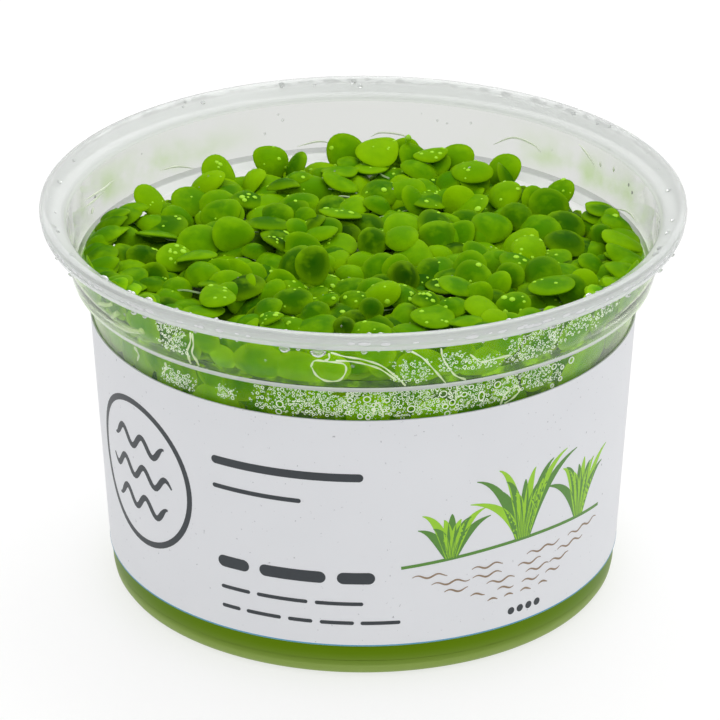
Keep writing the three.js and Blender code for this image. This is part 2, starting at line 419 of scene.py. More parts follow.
def leaf(name, stops, roughness, rim_light_green, dark_spots, spread, glow):
    """Waxy duckweed: tone picks each frond's green, darker in the middle and lighter towards the edge as
    painted shading of its dome, and lighter underneath

    spread is how far bright patches cover it. glow is the share of its colour that it gives off, painted
    light that stands in for light scattered through the wet wall.
    """
    material, tree, shader = new_material(name)
    green = ramp(tree, attribute(tree, "tone"), stops)
    # Painted shading: the middle is darkened and the rim lightened, as light falls on a domed frond
    edge = fade(tree, attribute(tree, "edge"), [(0.0, 0), (0.6, 0.2), (1.0, 1)])
    dome_shaded = blended(tree, edge, tinted(tree, green, (0.84, 0.9, 0.8)), blended(tree, 0.6, green, rim_light_green))
    mottled = blended(tree, noise(tree, 1.6, 4.0), dome_shaded, tinted(tree, dome_shaded, dark_spots))
    patches = fade(tree, noise(tree, 2.4, 3.0), [(0.48, 0), (0.72, spread)])
    mottled = blended(tree, patches, mottled, PATCH_GREEN)
    underside = blended(tree, 0.4, mottled, UNDERSIDE_GREEN)
    colour = blended(tree, attribute(tree, "under"), mottled, underside)
    grain = bump(tree, noise(tree, 0.18, 3.0), 0.25, 0.05)
    values = {**painted_glow(colour, glow), "Roughness": roughness, "IOR": 1.08, "Specular IOR Level": 0.5}
    set_inputs(tree, shader, {**values, "Specular Tint": (0.8, 1, 0.2, 1), "Normal": grain})
    let_light_through(tree, shader, 0.25, {"Color": tinted(tree, colour, (1.0, 1.0, 0.5)), "Normal": grain})
    return material


def wet_mass(name, greens, lumpiness, glow):
    """Packed fronds, roots and water, with a ramp of greens and a share of painted glow"""
    material, tree, shader = new_material(name)
    green = ramp(tree, noise(tree, 3.0, 5.0, 0.6), greens)
    lumps = bump(tree, noise(tree, 1.2, 3.0), lumpiness, 0.6)
    set_inputs(tree, shader, {**painted_glow(green, glow), "Roughness": 0.25, "IOR": 1.22, "Normal": lumps})
    return material


def label_film():
    """Satin white film with a few faint specks"""
    material, tree, shader = new_material("label film")
    specks = ramp(tree, noise(tree, 0.5, 2.0), [(0.22, (0.45, 0.45, 0.47)), (0.29, (1, 1, 1))])
    cloud = blended(tree, noise(tree, 9.0), (0.8, 0.81, 0.845), (0.84, 0.85, 0.88))
    fine = bump(tree, noise(tree, 0.4, 4.0), 0.15, 0.03)
    set_inputs(tree, shader, {"Base Color": tinted(tree, cloud, specks), "Roughness": 0.42, "Normal": fine})
    let_light_through(tree, shader, 0.16, {"Color": (0.9, 0.9, 0.9, 1)})
    return material


def ink(name, colour):
    """Printed colour with a slight mottle"""
    material, tree, shader = new_material(name)
    faded = tuple(min(1, part * 1.25 + 0.004) for part in colour)
    mottled = blended(tree, noise(tree, 0.6, 3.0), colour, faded)
    set_inputs(tree, shader, {"Base Color": mottled, "Roughness": 0.45})
    return material


def water(name, colour, clearness, roughness, glow=0.0):
    """Drops, bubbles and other wet or pale marks, glow being a painted glow that stands in for the light that
    gathers in them
    """
    material, tree, shader = new_material(name)
    dimple = bump(tree, noise(tree, 0.5), 0.2, 0.03)
    values = {**painted_glow((*colour, 1), glow), "Roughness": roughness, "IOR": 1.33}
    set_inputs(tree, shader, {**values, "Transmission Weight": clearness, "Normal": dimple})
    return material


def thin_root(name, first, second, glow=0.0):
    """Thin wet roots and stems, mottled with two colours, with a share of painted glow"""
    material, tree, shader = new_material(name)
    colour = blended(tree, noise(tree, 2.5), first, second)
    set_inputs(tree, shader, {**painted_glow(colour, glow), "Roughness": 0.22, "Transmission Weight": 0.05})
    return material


def floor_paint():
    """Pale matt floor with a glow of its own"""
    material, tree, shader = new_material("studio floor")
    shade = blended(tree, noise(tree, 60.0), (0.25, 0.25, 0.25), (0.27, 0.27, 0.27))
    glow = {"Emission Color": (1, 1, 1, 1), "Emission Strength": 0.7}
    set_inputs(tree, shader, {"Base Color": shade, "Roughness": 0.7, **glow})
    return material


LEAF_STOPS = [
    (0.0, (0.01, 0.065, 0.001)), (0.2, (0.035, 0.17, 0.001)), (0.55, (0.11, 0.35, 0.001)),
    (0.85, (0.22, 0.5, 0.001)), (1.0, (0.36, 0.66, 0.002)),
]
# Lighter greens for fronds behind the wall: painted light against the shade there
WALL_PAINTED_LIGHT_STOPS = [
    (0.0, (0.035, 0.18, 0.001)), (0.3, (0.12, 0.42, 0.001)), (0.7, (0.31, 0.72, 0.001)),
    (1.0, (0.52, 0.95, 0.002)),
]
MASS_STOPS = [(0.3, (0.015, 0.026, 0.002)), (0.5, (0.045, 0.1, 0.003)), (0.7, (0.12, 0.25, 0.004))]
# Lighter greens for the mass's fringe at the wall: painted light against the shade there
FRINGE_PAINTED_LIGHT_STOPS = [(0.35, (0.06, 0.13, 0.03)), (0.5, (0.13, 0.3, 0.02)), (0.65, (0.4, 0.8, 0.005))]
PATCH_GREEN, UNDERSIDE_GREEN = (0.3, 0.6, 0.001), (0.3, 0.5, 0.04)
WET_PLASTIC, DRY_PLASTIC = (0.99, 1.0, 0.97), (0.69, 0.7, 0.68)
WET_RIM, DRY_RIM = (0.85, 0.88, 0.865), (0.87, 0.89, 0.88)
# The foot's green, and its lighter colour near the table, which is painted floor light
DEEP_FOOT, FOOT_PAINTED_FLOOR_LIGHT = (0.13, 0.24, 0.002), (0.24, 0.34, 0.07)
# Colour and lost clearness of the painted sheen
PAINTED_SHEEN_COLOUR, PAINTED_SHEEN_SHARE = (0.4, 0.68, 0.08), 0.36
SMEAR_COLOUR = (0.5, 0.62, 0.36)
CLEAR = clear_plastic("clear tub wall", WET_PLASTIC, DRY_PLASTIC, roughness=0.03, clearness=1.0, ripple=0.08,
                      gloss=(0.1, 0.1, 0.1), ior=1.4)
FROSTED = clear_plastic("milky tub rim", WET_RIM, DRY_RIM, roughness=0.2, clearness=0.5, ripple=0.15)
FOOT = clear_plastic("tub foot", DEEP_FOOT, FOOT_PAINTED_FLOOR_LIGHT, roughness=0.4, clearness=0.2, ripple=0.1,
                     gloss=(0.15, 0.15, 0.15), ior=1.2)
LEAF = leaf("duckweed frond", LEAF_STOPS, roughness=0.4, rim_light_green=(0.33, 0.6, 0.001),
            dark_spots=(0.62, 0.74, 0.6), spread=0.5, glow=0.0)
# Painted light: a lighter copy of the frond look, with a glow, for fronds behind the wall
WALL_LEAF_PAINTED_LIGHT = leaf("duckweed at the wall, painted lighter", WALL_PAINTED_LIGHT_STOPS, roughness=0.3, rim_light_green=(0.68, 1.0, 0.01),
                 dark_spots=(0.25, 0.5, 0.2), spread=0.7, glow=0.12)
MASS = wet_mass("wet packed duckweed", MASS_STOPS, lumpiness=0.8, glow=0.0)
# Painted light: a lighter copy of the mass, with a glow
FRINGE_PAINTED_LIGHT = wet_mass("wet fringe, painted lighter", FRINGE_PAINTED_LIGHT_STOPS, lumpiness=0.3, glow=0.12)
# Painted reflection: a flat pale grey for the bright wall mirrored in the water at the back
PAINTED_REFLECTION_POOL = water("strip of water, painted reflection", (0.4, 0.43, 0.36), clearness=0.0, roughness=0.4)
FILM = label_film()
DARK_INK = ink("dark ink", (0.018, 0.024, 0.03))
GREEN_INK = ink("green ink", (0.07, 0.2, 0.02))
BLUE_INK = ink("blue ink", (0.06, 0.26, 0.4))
LIME_INK = ink("lime ink", (0.25, 0.5, 0.01))
BROWN_INK = ink("brown ink", (0.22, 0.15, 0.09))
# Opaque lighter green beads: painted light, for the light that clear drops gather on the fronds
BEAD_PAINTED_LIGHT = water("water bead, painted light", (0.33, 0.66, 0.004), clearness=0.0, roughness=0.35)
DROP = water("water drop", (0.97, 0.98, 0.98), clearness=0.85, roughness=0.02)
# The foam gives off a share of its colour: painted glow that keeps it bright behind the wall
FOAM = water("foam bubble", (0.93, 1.0, 0.84), clearness=0.0, roughness=0.1, glow=0.24)
MILKY_DROP = water("drop on the rim", (0.9, 0.91, 0.92), clearness=0.3, roughness=0.1)
# The roots give off a share of their colour: painted glow
ROOT = thin_root("wet root", (0.78, 0.92, 0.5), (0.94, 0.98, 0.82), glow=0.15)
STEM = thin_root("stem in the pond", (0.2, 0.45, 0.02), (0.5, 0.55, 0.4))
STRAND = thin_root("thick strand", (0.42, 0.78, 0.06), (0.72, 0.92, 0.36))
STREAK = water("streak on the wall", (0.84, 0.9, 0.74), clearness=0.0, roughness=0.5)
STALK_GREEN = thin_root("green stalk", (0.22, 0.55, 0.003), (0.36, 0.68, 0.005))


# Camera, light and floor

def camera_frame():
    """The camera's place and its directions to the right, up and back"""
    elevation = math.radians(CAMERA_ELEVATION)
    back = Vector((0, -math.cos(elevation), math.sin(elevation)))
    level = Vector((1, 0, 0))
    upright = back.cross(level)
    rim_middle = Vector((0, 0, TUB_HEIGHT))
    place = rim_middle + back * CAMERA_DISTANCE + level * CAMERA_SIDEWAYS + upright * CAMERA_RAISE
    return place, level, upright, back


def seen_on_wall(pixels, far_side=False):
    """Azimuths and heights on the inner wall at pixels of the photograph, on its near or far side"""
    place, level, upright, back = [np.array(vector) for vector in camera_frame()]
    sight = np.array(pixels, dtype=float) - PHOTO_WIDTH / 2
    focal = PHOTO_WIDTH * CAMERA_LENS / CAMERA_SENSOR
    rays = np.outer(sight[:, 0], level) - np.outer(sight[:, 1], upright) - focal * back
    rays /= np.linalg.norm(rays, axis=1)[:, None]
    reach = np.arange(CAMERA_DISTANCE - SIGHT_REACH, CAMERA_DISTANCE + SIGHT_REACH, SIGHT_STEP)
    points = place + reach[:, None, None] * rays
    inside = np.hypot(points[..., 0], points[..., 1]) < inner_radius(points[..., 2])
    step = len(reach) - 1 - np.argmax(inside[::-1], axis=0) if far_side else np.argmax(inside, axis=0)
    x, y, z = points[step, np.arange(len(rays))].T
    azimuth = np.degrees(np.arctan2(x, -y))
    return azimuth % 360 if far_side else azimuth, np.minimum(z, COLLAR_TOP[1] - SIGHT_MARGIN)


def make_camera():
    """The camera at the photograph's viewing angle"""
    place, level, upright, back = camera_frame()
    data = bpy.data.cameras.new("camera")
    data.lens = CAMERA_LENS
    data.sensor_width = CAMERA_SENSOR
    camera = new_object("camera", data)
    directions = Matrix((level, upright, back)).transposed().to_4x4()
    camera.matrix_world = Matrix.Translation(place / METRE) @ directions
    bpy.context.scene.camera = camera


def make_light(name, place, size, power):
    """A soft square lamp aimed at the tub's middle, its place and size in millimetres"""
    data = bpy.data.lights.new(name, "AREA")
    data.size = size / METRE
    data.energy = power
    lamp = new_object(name, data)
    spot = Vector(place) / METRE
    aim = Vector((0, 0, TUB_HEIGHT / 2 / METRE)) - spot
    lamp.matrix_world = Matrix.Translation(spot) @ aim.to_track_quat("-Z", "Y").to_matrix().to_4x4()


SKY_STOPS = [(0.0, (0.72, 0.72, 0.73)), (0.35, (0.92, 0.92, 0.92)), (0.9, (1.25, 1.25, 1.23))]
SIDE_STOPS = [(0.0, 0.87), (0.5, 1.0), (1.0, 1.07)]
FLOOR_HALF = 3000.0


def make_sky():
    """White dome, brighter overhead and to the right"""
    world = bpy.data.worlds.new("studio")
    world.use_nodes = True
    bpy.context.scene.world = world
    tree = world.node_tree
    direction = add_node(tree, "ShaderNodeTexCoord", {}).outputs["Generated"]
    parts = add_node(tree, "ShaderNodeSeparateXYZ", {0: direction}).outputs
    sky = tinted(tree, ramp(tree, parts["Z"], SKY_STOPS), fade(tree, parts["X"], SIDE_STOPS))
    set_inputs(tree, tree.nodes["Background"], {"Color": sky, "Strength": 1.0})


def make_floor():
    """Pale floor round the tub's foot, as stage"""
    half = FLOOR_HALF / METRE
    mesh = bpy.data.meshes.new("floor")
    corners = [(-half, -half, 0), (half, -half, 0), (half, half, 0), (-half, half, 0)]
    mesh.from_pydata(corners, [], [(0, 1, 2, 3)])
    mesh.materials.append(floor_paint())
    new_object("floor", mesh)


# Tub and label

def skirt_ridges():
    """Two fine ridges round the skirt's outer face, from its foot up"""
    points = []
    for depth in sorted(RIDGE_DEPTHS, reverse=True):
        height = TUB_HEIGHT - depth
        face = RIM_RADIUS - SKIRT_LEAN * depth / SKIRT_HEIGHT
        points.append((face, height - RIDGE_HALF_WIDTH, 0))
        points.append((face + RIDGE_RISE, height, 0.08))
        points.append((face, height + RIDGE_HALF_WIDTH, 0))
    return points


def dryness_and_floor_light(points):
    """1 where the wall is dried out, and near the table as painted floor light, down to 0 where water and
    foam wet it
    """
    azimuth, height = azimuth_of(points), points[:, 2]
    painted_floor_light = 1 - smooth_step(height, *FLOOR_LIGHT_HEIGHTS)
    start = DRY_FROM - DRY_DROP * smooth_step(azimuth, *DRY_DROP_AZIMUTHS)
    return painted_floor_light + smooth_step(height, start, start + DRY_RISE) * smooth_step(azimuth, *DRY_AZIMUTHS)


def painted_sheen(points):
    """1 on the outer face at both sides of the front, where a milky green is painted as the wall's sheen at
    grazing angles, down to 0
    """
    radius, height = np.hypot(points[:, 0], points[:, 1]), points[:, 2]
    outer = (radius > inner_radius(height) + WALL_THICKNESS * 0.6) & (height > LABEL_TOP - 0.6)
    above_ledge = smooth_step(height, *PAINTED_SHEEN_LEDGE)
    outer = outer * (1 - 0.6 * above_ledge - 0.4 * smooth_step(height, PAINTED_SHEEN_FADE, COLLAR_TOP[1]))
    azimuth = azimuth_of(points)
    past_end = smooth_step(azimuth + PAINTED_SHEEN_SHIFT * above_ledge, *PAINTED_SHEEN_END)
    return outer * smooth_step(azimuth, *PAINTED_SHEEN_START) * (1 - past_end)


def smear(points):
    """1 on the collar at both sides of the back, where it has green smears, down to 0"""
    azimuth, height = azimuth_of(points), points[:, 2]
    collar = smooth_step(height, *SMEAR_FOOT) * (1 - smooth_step(height, *SMEAR_TOP))
    return collar * smooth_step(azimuth, *SMEAR_START) * (1 - smooth_step(azimuth, *SMEAR_END))


def tub_profile():
    """The tub's outline: out along the foot, up the outer face, over the rim and back inside"""
    skirt_foot = TUB_HEIGHT - SKIRT_HEIGHT
    skirt_radius = RIM_RADIUS - SKIRT_LEAN - RIDGE_RISE
    return rounded([
        (0, 0, 0),
        (FLOOR_EDGE, 0, 0),
        (FOOT_RADIUS, 0, CORNER_ROUNDING),
        *[(wall_radius(height), height, 0) for height in PALE_FOOT_RINGS],
        (wall_radius(LABEL_FOOT + 1), LABEL_FOOT + 1, 0),
        (wall_radius(LABEL_TOP - 0.4), LABEL_TOP - 0.4, 0),
        (wall_radius(LEDGE_UNDERSIDE), LEDGE_UNDERSIDE, 0.3),
        (LEDGE_RADIUS, LEDGE_TOP, 0.4),
        (inner_radius(MILKY_TOP) + WALL_THICKNESS + 0.22, MILKY_TOP, 0),
        (*COLLAR_BEND, 0.5),
        (*COLLAR_TOP, 0.5),
        (RIM_RADIUS - LIP_WIDTH, TUB_HEIGHT - 1.0, 0.3),
        (skirt_radius - SKIRT_THICKNESS, skirt_foot, 0.14),
        (skirt_radius, skirt_foot, 0.16),
        *skirt_ridges(),
        (RIM_RADIUS - 0.05, TUB_HEIGHT - 0.12, 0.24),
        (RIM_RADIUS - LIP_WIDTH, TUB_HEIGHT, 0.35),
        (COLLAR_TOP[0] - WALL_THICKNESS, COLLAR_TOP[1] + WALL_THICKNESS / 2, 0.6),
        (COLLAR_BEND[0] - WALL_THICKNESS, COLLAR_BEND[1], 0.5),
        (LEDGE_RADIUS - WALL_THICKNESS, LEDGE_TOP + LEDGE_LIFT, 0.12),
        (wall_radius(LEDGE_TOP) - WALL_THICKNESS, LEDGE_TOP, 0.3),
        (wall_radius(LABEL_FOOT + 1) - WALL_THICKNESS, LABEL_FOOT + 1, 0),
        (wall_radius(FLOOR_THICKNESS) - WALL_THICKNESS, FLOOR_THICKNESS, 1.5),
        (FLOOR_EDGE, FLOOR_THICKNESS, 0),
        (0, FLOOR_THICKNESS, 0),
    ])


def tub_materials(points, faces):
    """Each face's material: 1 on the rim, the step and the part of the ledge past the wet ring, 2 on the
    foot, else 0
    """
    first = points[[face[0] for face in faces]]
    height = (first[:, 2] + points[[face[2] for face in faces], 2]) / 2
    radius = np.hypot(first[:, 0], first[:, 1])
    on_rim = (height > COLLAR_TOP[1] - 0.2) | (radius > COLLAR_TOP[0] + 0.3)
    on_step = (height > LEDGE_UNDERSIDE + 0.3) & (height < MILKY_TOP) & (radius > LEDGE_RADIUS - 0.1)
    inner_ledge = (height > LEDGE_TOP) & (height < LEDGE_TOP + 0.6) & (radius < LEDGE_RADIUS - 0.6)
    on_ledge = inner_ledge & (azimuth_of(first) > WET_RING_END)
    on_foot = (height < LABEL_FOOT + 1) & (radius > FLOOR_EDGE - 0.1)
    return np.where(on_rim | on_step | on_ledge, 1, np.where(on_foot, 2, 0))


def make_tub():
    """The clear tub, with how dried out and smeared its wall is, and where painted floor light and painted
    sheen lie, at each point
    """
    points, faces = turned(tub_profile(), TUB_SEGMENTS)
    make_piece(
        "clear_tub", points, faces, [CLEAR, FROSTED, FOOT], slot="clear_plastic", replaces=["tub"],
        face_material=tub_materials(points, faces),
        attributes={"dry_and_floor_lit": dryness_and_floor_light(points), "painted_sheen": painted_sheen(points), "smear": smear(points)},
    )


def make_label():
    """A film wrapped once round the wall, its ends overlapping at the back"""
    azimuths = np.linspace(-180 - LABEL_OVERLAP / 2, 180 + LABEL_OVERLAP / 2, LABEL_SEGMENTS + 1)
    over = smooth_step(azimuths, 180 - LABEL_OVERLAP * 0.9, 180 - LABEL_OVERLAP * 0.5)
    lift = (LABEL_THICKNESS + 0.01) * over
    inner, outer = 0, LABEL_THICKNESS
    corners = [(inner, LABEL_FOOT), (outer, LABEL_FOOT), (outer, LABEL_TOP), (inner, LABEL_TOP)]
    rows = [round_tub(azimuths, wall_radius(z) + LABEL_GAP + out + lift, z) for out, z in corners]
    sides, end = len(corners), LABEL_SEGMENTS * len(corners)
    faces = [(0, 1, 2, 3), (end + 3, end + 2, end + 1, end)]
    for start in range(0, end, sides):
        faces += flipped(strip(start, start + sides, sides))
    points = np.stack(rows, axis=1).reshape(-1, 3)
    make_piece("label_film", points, faces, [FILM], slot="label_paper", replaces=["label"])


# Prints on the label. A place on it is (arc length from the front, height), in millimetres

PRINT_RADIUS = 33.3
EMBLEM_AZIMUTH, EMBLEM_HEIGHT, EMBLEM_RADIUS = -56, 21.5, 9.6
# Ripples in the emblem: height over its middle, half the length
RIPPLES = [(4.2, 5.6), (0.0, 6.6), (-4.2, 5.6)]
RIPPLE_DEPTH, RIPPLE_LENGTH = 0.95, 4.4
# Rules: azimuths left and right, height, thickness
RULES = [
    (-33, 0, 28.2, 1.1), (-33, -13, 24.6, 0.6),
    (-32.5, -25, 14.2, 1.6), (-22.6, -8, 14.2, 1.6), (-5.6, 2.5, 14.2, 1.6),
    (-32, -25, 10.6, 0.5), (-23.4, -12, 10.6, 0.5), (-10.4, 0, 10.6, 0.5),
    (-32, -27.5, 7.9, 0.5), (-26, -18, 7.9, 0.5), (-16.4, -11, 7.9, 0.5), (-9.4, -2, 7.9, 0.5),
    (-0.6, 8, 7.9, 0.5),
]
DOT_AZIMUTHS, DOT_HEIGHT, DOT_RADIUS = (34, 36.4, 38.8, 41.2), 6.6, 0.5
REED_LEFT, REED_RIGHT, REED_GROUND = 8, 62, 15.5
# Tufts of reeds: share of the way from left to right, height, blades
TUFTS = [(0.2, 9.5, 9), (0.52, 15.0, 13), (0.84, 11.5, 10)]


def arc(azimuth):
    """Arc length on the label from its front to an azimuth"""
    return np.radians(azimuth) * PRINT_RADIUS


def line_of(along, height):
    """Label places at arc lengths, with a height for each or one for all"""
    return np.stack(np.broadcast_arrays(along, height), axis=1)


def circle(middle, radius, steps):
    """Label places round a circle"""
    turns = np.linspace(0, 2 * math.pi, steps, endpoint=False)
    return np.asarray(middle) + radius * np.stack([np.cos(turns), np.sin(turns)], axis=1)


def on_label(flat, lift):
    """Label places as points, lift above the film"""
    height = flat[:, 1]
    radius = wall_radius(height) + LABEL_GAP + LABEL_THICKNESS + lift
    return round_tub(np.degrees(flat[:, 0] / PRINT_RADIUS), radius, height)


class Print:
    """Gathers thin closed solids of one ink"""

    def __init__(self, name, material):
        self.name, self.material, self.solids = name, material, []

    def add(self, flat, faces):
        """A solid with outer points at label places and as many points under them"""
        points = np.concatenate([on_label(flat, PRINT_LIFT), on_label(flat, -PRINT_SINK)])
        self.solids.append((points, faces))

    def sheet(self, flat, faces, border):
        """A sheet of label places with its outer faces, and its border as a turning list of indexes"""
        size = len(flat)
        under = shifted([face[::-1] for face in faces], size)
        pairs = zip(border, border[1:] + border[:1])
        self.add(flat, faces + under + [(here, here + size, after + size, after) for here, after in pairs])

    def stroke(self, line, widths):
        """A band along a line of label places"""
        along = np.gradient(line, axis=0)
        along /= np.linalg.norm(along, axis=1)[:, None]
        aside = np.stack([-along[:, 1], along[:, 0]], axis=1) * np.reshape(widths, (-1, 1)) / 2
        size = len(line)
        border = list(range(size)) + list(range(2 * size - 1, size - 1, -1))
        self.sheet(np.concatenate([line - aside, line + aside]), strip(0, size, size, closed=False), border)

    def ring(self, middle, radius, width, steps=72):
        """A closed circle line"""
        edges = [circle(middle, radius - width / 2, steps), circle(middle, radius + width / 2, steps)]
        rows = [0, steps, 3 * steps, 2 * steps]
        self.add(np.concatenate(edges), flipped(round_section(rows, steps)))

    def disc(self, middle, radius, steps=28):
        """A round dot"""
        self.sheet(circle(middle, radius, steps), [tuple(range(steps))], list(range(steps)))

    def bar(self, left, right, height, thickness):
        """A straight rule with round ends, from one azimuth to another"""
        start, end, cap = arc(left), arc(right), thickness / 2
        bend = cap * (1 - np.cos(np.linspace(0.12, math.pi / 2, 7)))
        straight = np.linspace(start + cap, end - cap, 14)[1:-1]
        along = np.concatenate([start + bend, straight, (end - bend)[::-1]])
        inward = np.minimum(np.minimum(along - start, end - along), cap)
        self.stroke(line_of(along, height), 2 * np.sqrt(cap**2 - (cap - inward) ** 2))

    def make(self):
        """The piece, with all that was gathered"""
        make_piece(self.name, *merged(self.solids), [self.material])


def make_emblem(dark):
    """A ring with three ripples in it"""
    middle = arc(EMBLEM_AZIMUTH)
    dark.ring((middle, EMBLEM_HEIGHT), EMBLEM_RADIUS, 0.8)
    for rise, half in RIPPLES:
        along = np.linspace(-half, half, 41)
        wave = RIPPLE_DEPTH * np.sin(along * 2 * math.pi / RIPPLE_LENGTH)
        widths = np.interp(half - np.abs(along), [0, 1.2], [0.25, 0.8])
        dark.stroke(line_of(middle + along, EMBLEM_HEIGHT + rise + wave), widths)


def make_rules(dark):
    """Plain rules and a row of dots"""
    for rule in RULES:
        dark.bar(*rule)
    for azimuth in DOT_AZIMUTHS:
        dark.disc((arc(azimuth), DOT_HEIGHT), DOT_RADIUS)


def blade(foot, lean, length, droop, steps=14):
    """Centre line of one arching blade of grass"""
    share = np.linspace(0, 1, steps)
    sideways = lean * share + droop * share**2.2
    return line_of(foot[0] + sideways, foot[1] + length * (share - 0.28 * share**3))


def make_tuft(inks, foot, ground, height, blades, draw):
    """Blades of reed from one foot, in two inks by turns"""
    for index in range(blades):
        lean = (index / (blades - 1) - 0.5) * height * 0.75
        length = height * draw(0.6, 1.0)
        line = blade((foot + lean * 0.16, ground), lean * 0.6, length, lean * draw(0.3, 0.9))
        share = np.linspace(0, 1, len(line))
        widths = (0.5 + 0.75 * np.sin(share * math.pi) ** 0.8) * (1 - 0.8 * share**3)
        inks[index % 2].stroke(line, widths)


def make_reeds(green, lime, brown):
    """Three tufts of reeds on a line, with ripples under it"""
    left, right = arc(REED_LEFT), arc(REED_RIGHT)
    along = np.linspace(left, right, 60)
    rise = np.sin((along - left) / (right - left) * math.pi)
    green.stroke(line_of(along, REED_GROUND + rise), 0.42)
    draw = np.random.default_rng(3).uniform
    for share, height, blades in TUFTS:
        ground = REED_GROUND + rise[int(share * 59)] + 0.15
        make_tuft((green, lime), left + share * (right - left), ground, height, blades, draw)
    for row in range(5):
        half = (1 - row * 0.17) * (right - left) / 2
        for piece in range(4):
            start = (left + right) / 2 - half + piece * half / 2 + draw(0, 1.5)
            span = half / 2 * draw(0.5, 0.85)
            along = np.linspace(start, start + span, 24)
            height = REED_GROUND - 1.5 - 1.25 * row + 0.22 * np.sin((along - start) * 2.4)
            brown.stroke(line_of(along, height), 0.2 * np.sin(np.linspace(0.15, math.pi - 0.15, 24)) + 0.05)


def make_prints():
    """The generic design, one piece for each ink"""
    names = ("dark", "green", "lime", "brown", "blue")
    inks = (DARK_INK, GREEN_INK, LIME_INK, BROWN_INK, BLUE_INK)
    prints = [Print(f"print_{name}", material) for name, material in zip(names, inks)]
    dark, green, lime, brown, blue = prints
    make_emblem(dark)
    make_rules(dark)
    make_reeds(green, lime, brown)
    blue.stroke(line_of(arc(np.linspace(-179.5, 179.5, 360)), LABEL_FOOT + 0.1), 0.16)
    for one in prints:
        one.make()


# Fronds. A set of fronds is a dictionary of arrays with one row for each frond

EDGE_THICKNESS = 0.08
# Fronds further back get lighter tones, painted back light: from where, by how much a millimetre, and at most
BACKLIT_FROM, BACKLIT_RATE, BACKLIT_MOST = 8, 0.016, 0.3


def frond_template(segments, top_rings, under_rings):
    """Grid over a frond: edge share, direction from the tip, side, and its faces"""
    rings = [(share, 1) for share in top_rings] + [(share, -1) for share in under_rings]
    turns = np.linspace(0, 2 * math.pi, segments, endpoint=False)
    edge = [0.0] + [share for share, _ in rings for _ in turns] + [0.0]
    turn = [0.0] + [t for _ in rings for t in turns] + [0.0]
    side = [1] + [s for _, s in rings for _ in turns] + [-1]
    faces = flipped(between_poles(len(rings), segments, 1, 0, len(edge) - 1))
    return np.array(edge), np.array(turn), np.array(side), faces


FINE = frond_template(24, [0.3, 0.55, 0.75, 0.9, 0.975, 1.0], [0.98, 0.8, 0.4])
PLAIN = frond_template(16, [0.45, 0.8, 0.96, 1.0], [0.9])


def frond_set(length, width, node, axes):
    """Fronds of given sizes and places, each with a random bend, edge and tone, the tone lifted further back
    as painted back light
    """
    count = len(length)
    draw = shape_random.uniform
    node = np.asarray(node, dtype=float)
    backlit = np.clip(BACKLIT_RATE * (node[:, 1] - BACKLIT_FROM), 0, BACKLIT_MOST)
    return {
        "length": np.asarray(length, dtype=float), "width": np.asarray(width, dtype=float),
        "node": node, "axes": np.asarray(axes, dtype=float),
        "taper": draw(0.04, 0.2, count), "cup": shape_random.normal(-0.28, 0.2, count),
        "fold": shape_random.normal(-0.08, 0.16, count), "bend": shape_random.normal(-0.1, 0.2, count),
        "twist": shape_random.normal(0, 0.2, count), "curve": shape_random.normal(0, 0.05, count),
        "wave": draw(0.0, 0.1, count), "phase": draw(0, 6.28, count),
        "thick": draw(0.42, 0.66, count), "tone": np.minimum(shape_random.beta(1.4, 1.5, count) + backlit, 1),
    }


def joined(sets):
    """Several sets of fronds as one"""
    return {key: np.concatenate([one[key] for one in sets]) for key in sets[0]}


def frond_local(fronds, edge, turn, side):
    """Points on fronds, each in its own frame: x from the node to the tip, z up"""
    f = {key: fronds[key][:, None] for key in fronds if key not in ("node", "axes")}
    along, across = edge * np.cos(turn), edge * np.sin(turn)
    uneven = 1 + 0.022 * np.sin(2 * turn + f["phase"]) + 0.016 * np.sin(3 * turn + 2 * f["phase"])
    x = f["length"] * (MIDDLE_SHARE + along * uneven / 2)
    y = f["width"] / 2 * across * uneven * (1 + f["taper"] * along) + f["curve"] * f["length"] * along**2
    crown = np.maximum(1 - edge**2, 0) ** 0.6 * f["thick"] * np.where(side > 0, 1.0, 0.65)
    dimple = -0.08 * np.exp(-((along + 0.74) ** 2 + across**2) / 0.02) * (side > 0)
    ribs = 0.012 * np.cos(5 * np.arctan2(across, along + 0.9)) * (1 - edge**2) * (side > 0)
    sheet = f["cup"] * edge**2 + f["fold"] * across**2 + f["bend"] * along**2
    sheet = sheet + f["twist"] * along * across + f["wave"] * edge**3 * np.sin(3 * turn + f["phase"])
    z = sheet + side * (crown + EDGE_THICKNESS / 2) + dimple + ribs
    return np.stack(np.broadcast_arrays(x, y, z), axis=-1)


def frond_points(fronds, edge, turn, side):
    """The same points in the tub's frame"""
    local = frond_local(fronds, edge, turn, side)
    return np.einsum("kij,kpj->kpi", fronds["axes"], local) + fronds["node"][:, None, :]


def frond_axes(heading, pitch, roll=0.0):
    """Axes of fronds as columns: towards the tip, across, and up. Angles in degrees"""
    heading, pitch, roll = np.broadcast_arrays(np.radians(heading), np.radians(pitch), np.radians(roll))
    flat = np.zeros_like(heading)
    tip = np.stack([np.cos(pitch) * np.cos(heading), np.cos(pitch) * np.sin(heading), np.sin(pitch)], axis=-1)
    level = np.stack([-np.sin(heading), np.cos(heading), flat], axis=-1)
    raised = np.cross(tip, level)
    across = level * np.cos(roll)[..., None] + raised * np.sin(roll)[..., None]
    return np.stack([tip, across, np.cross(tip, across)], axis=-1)


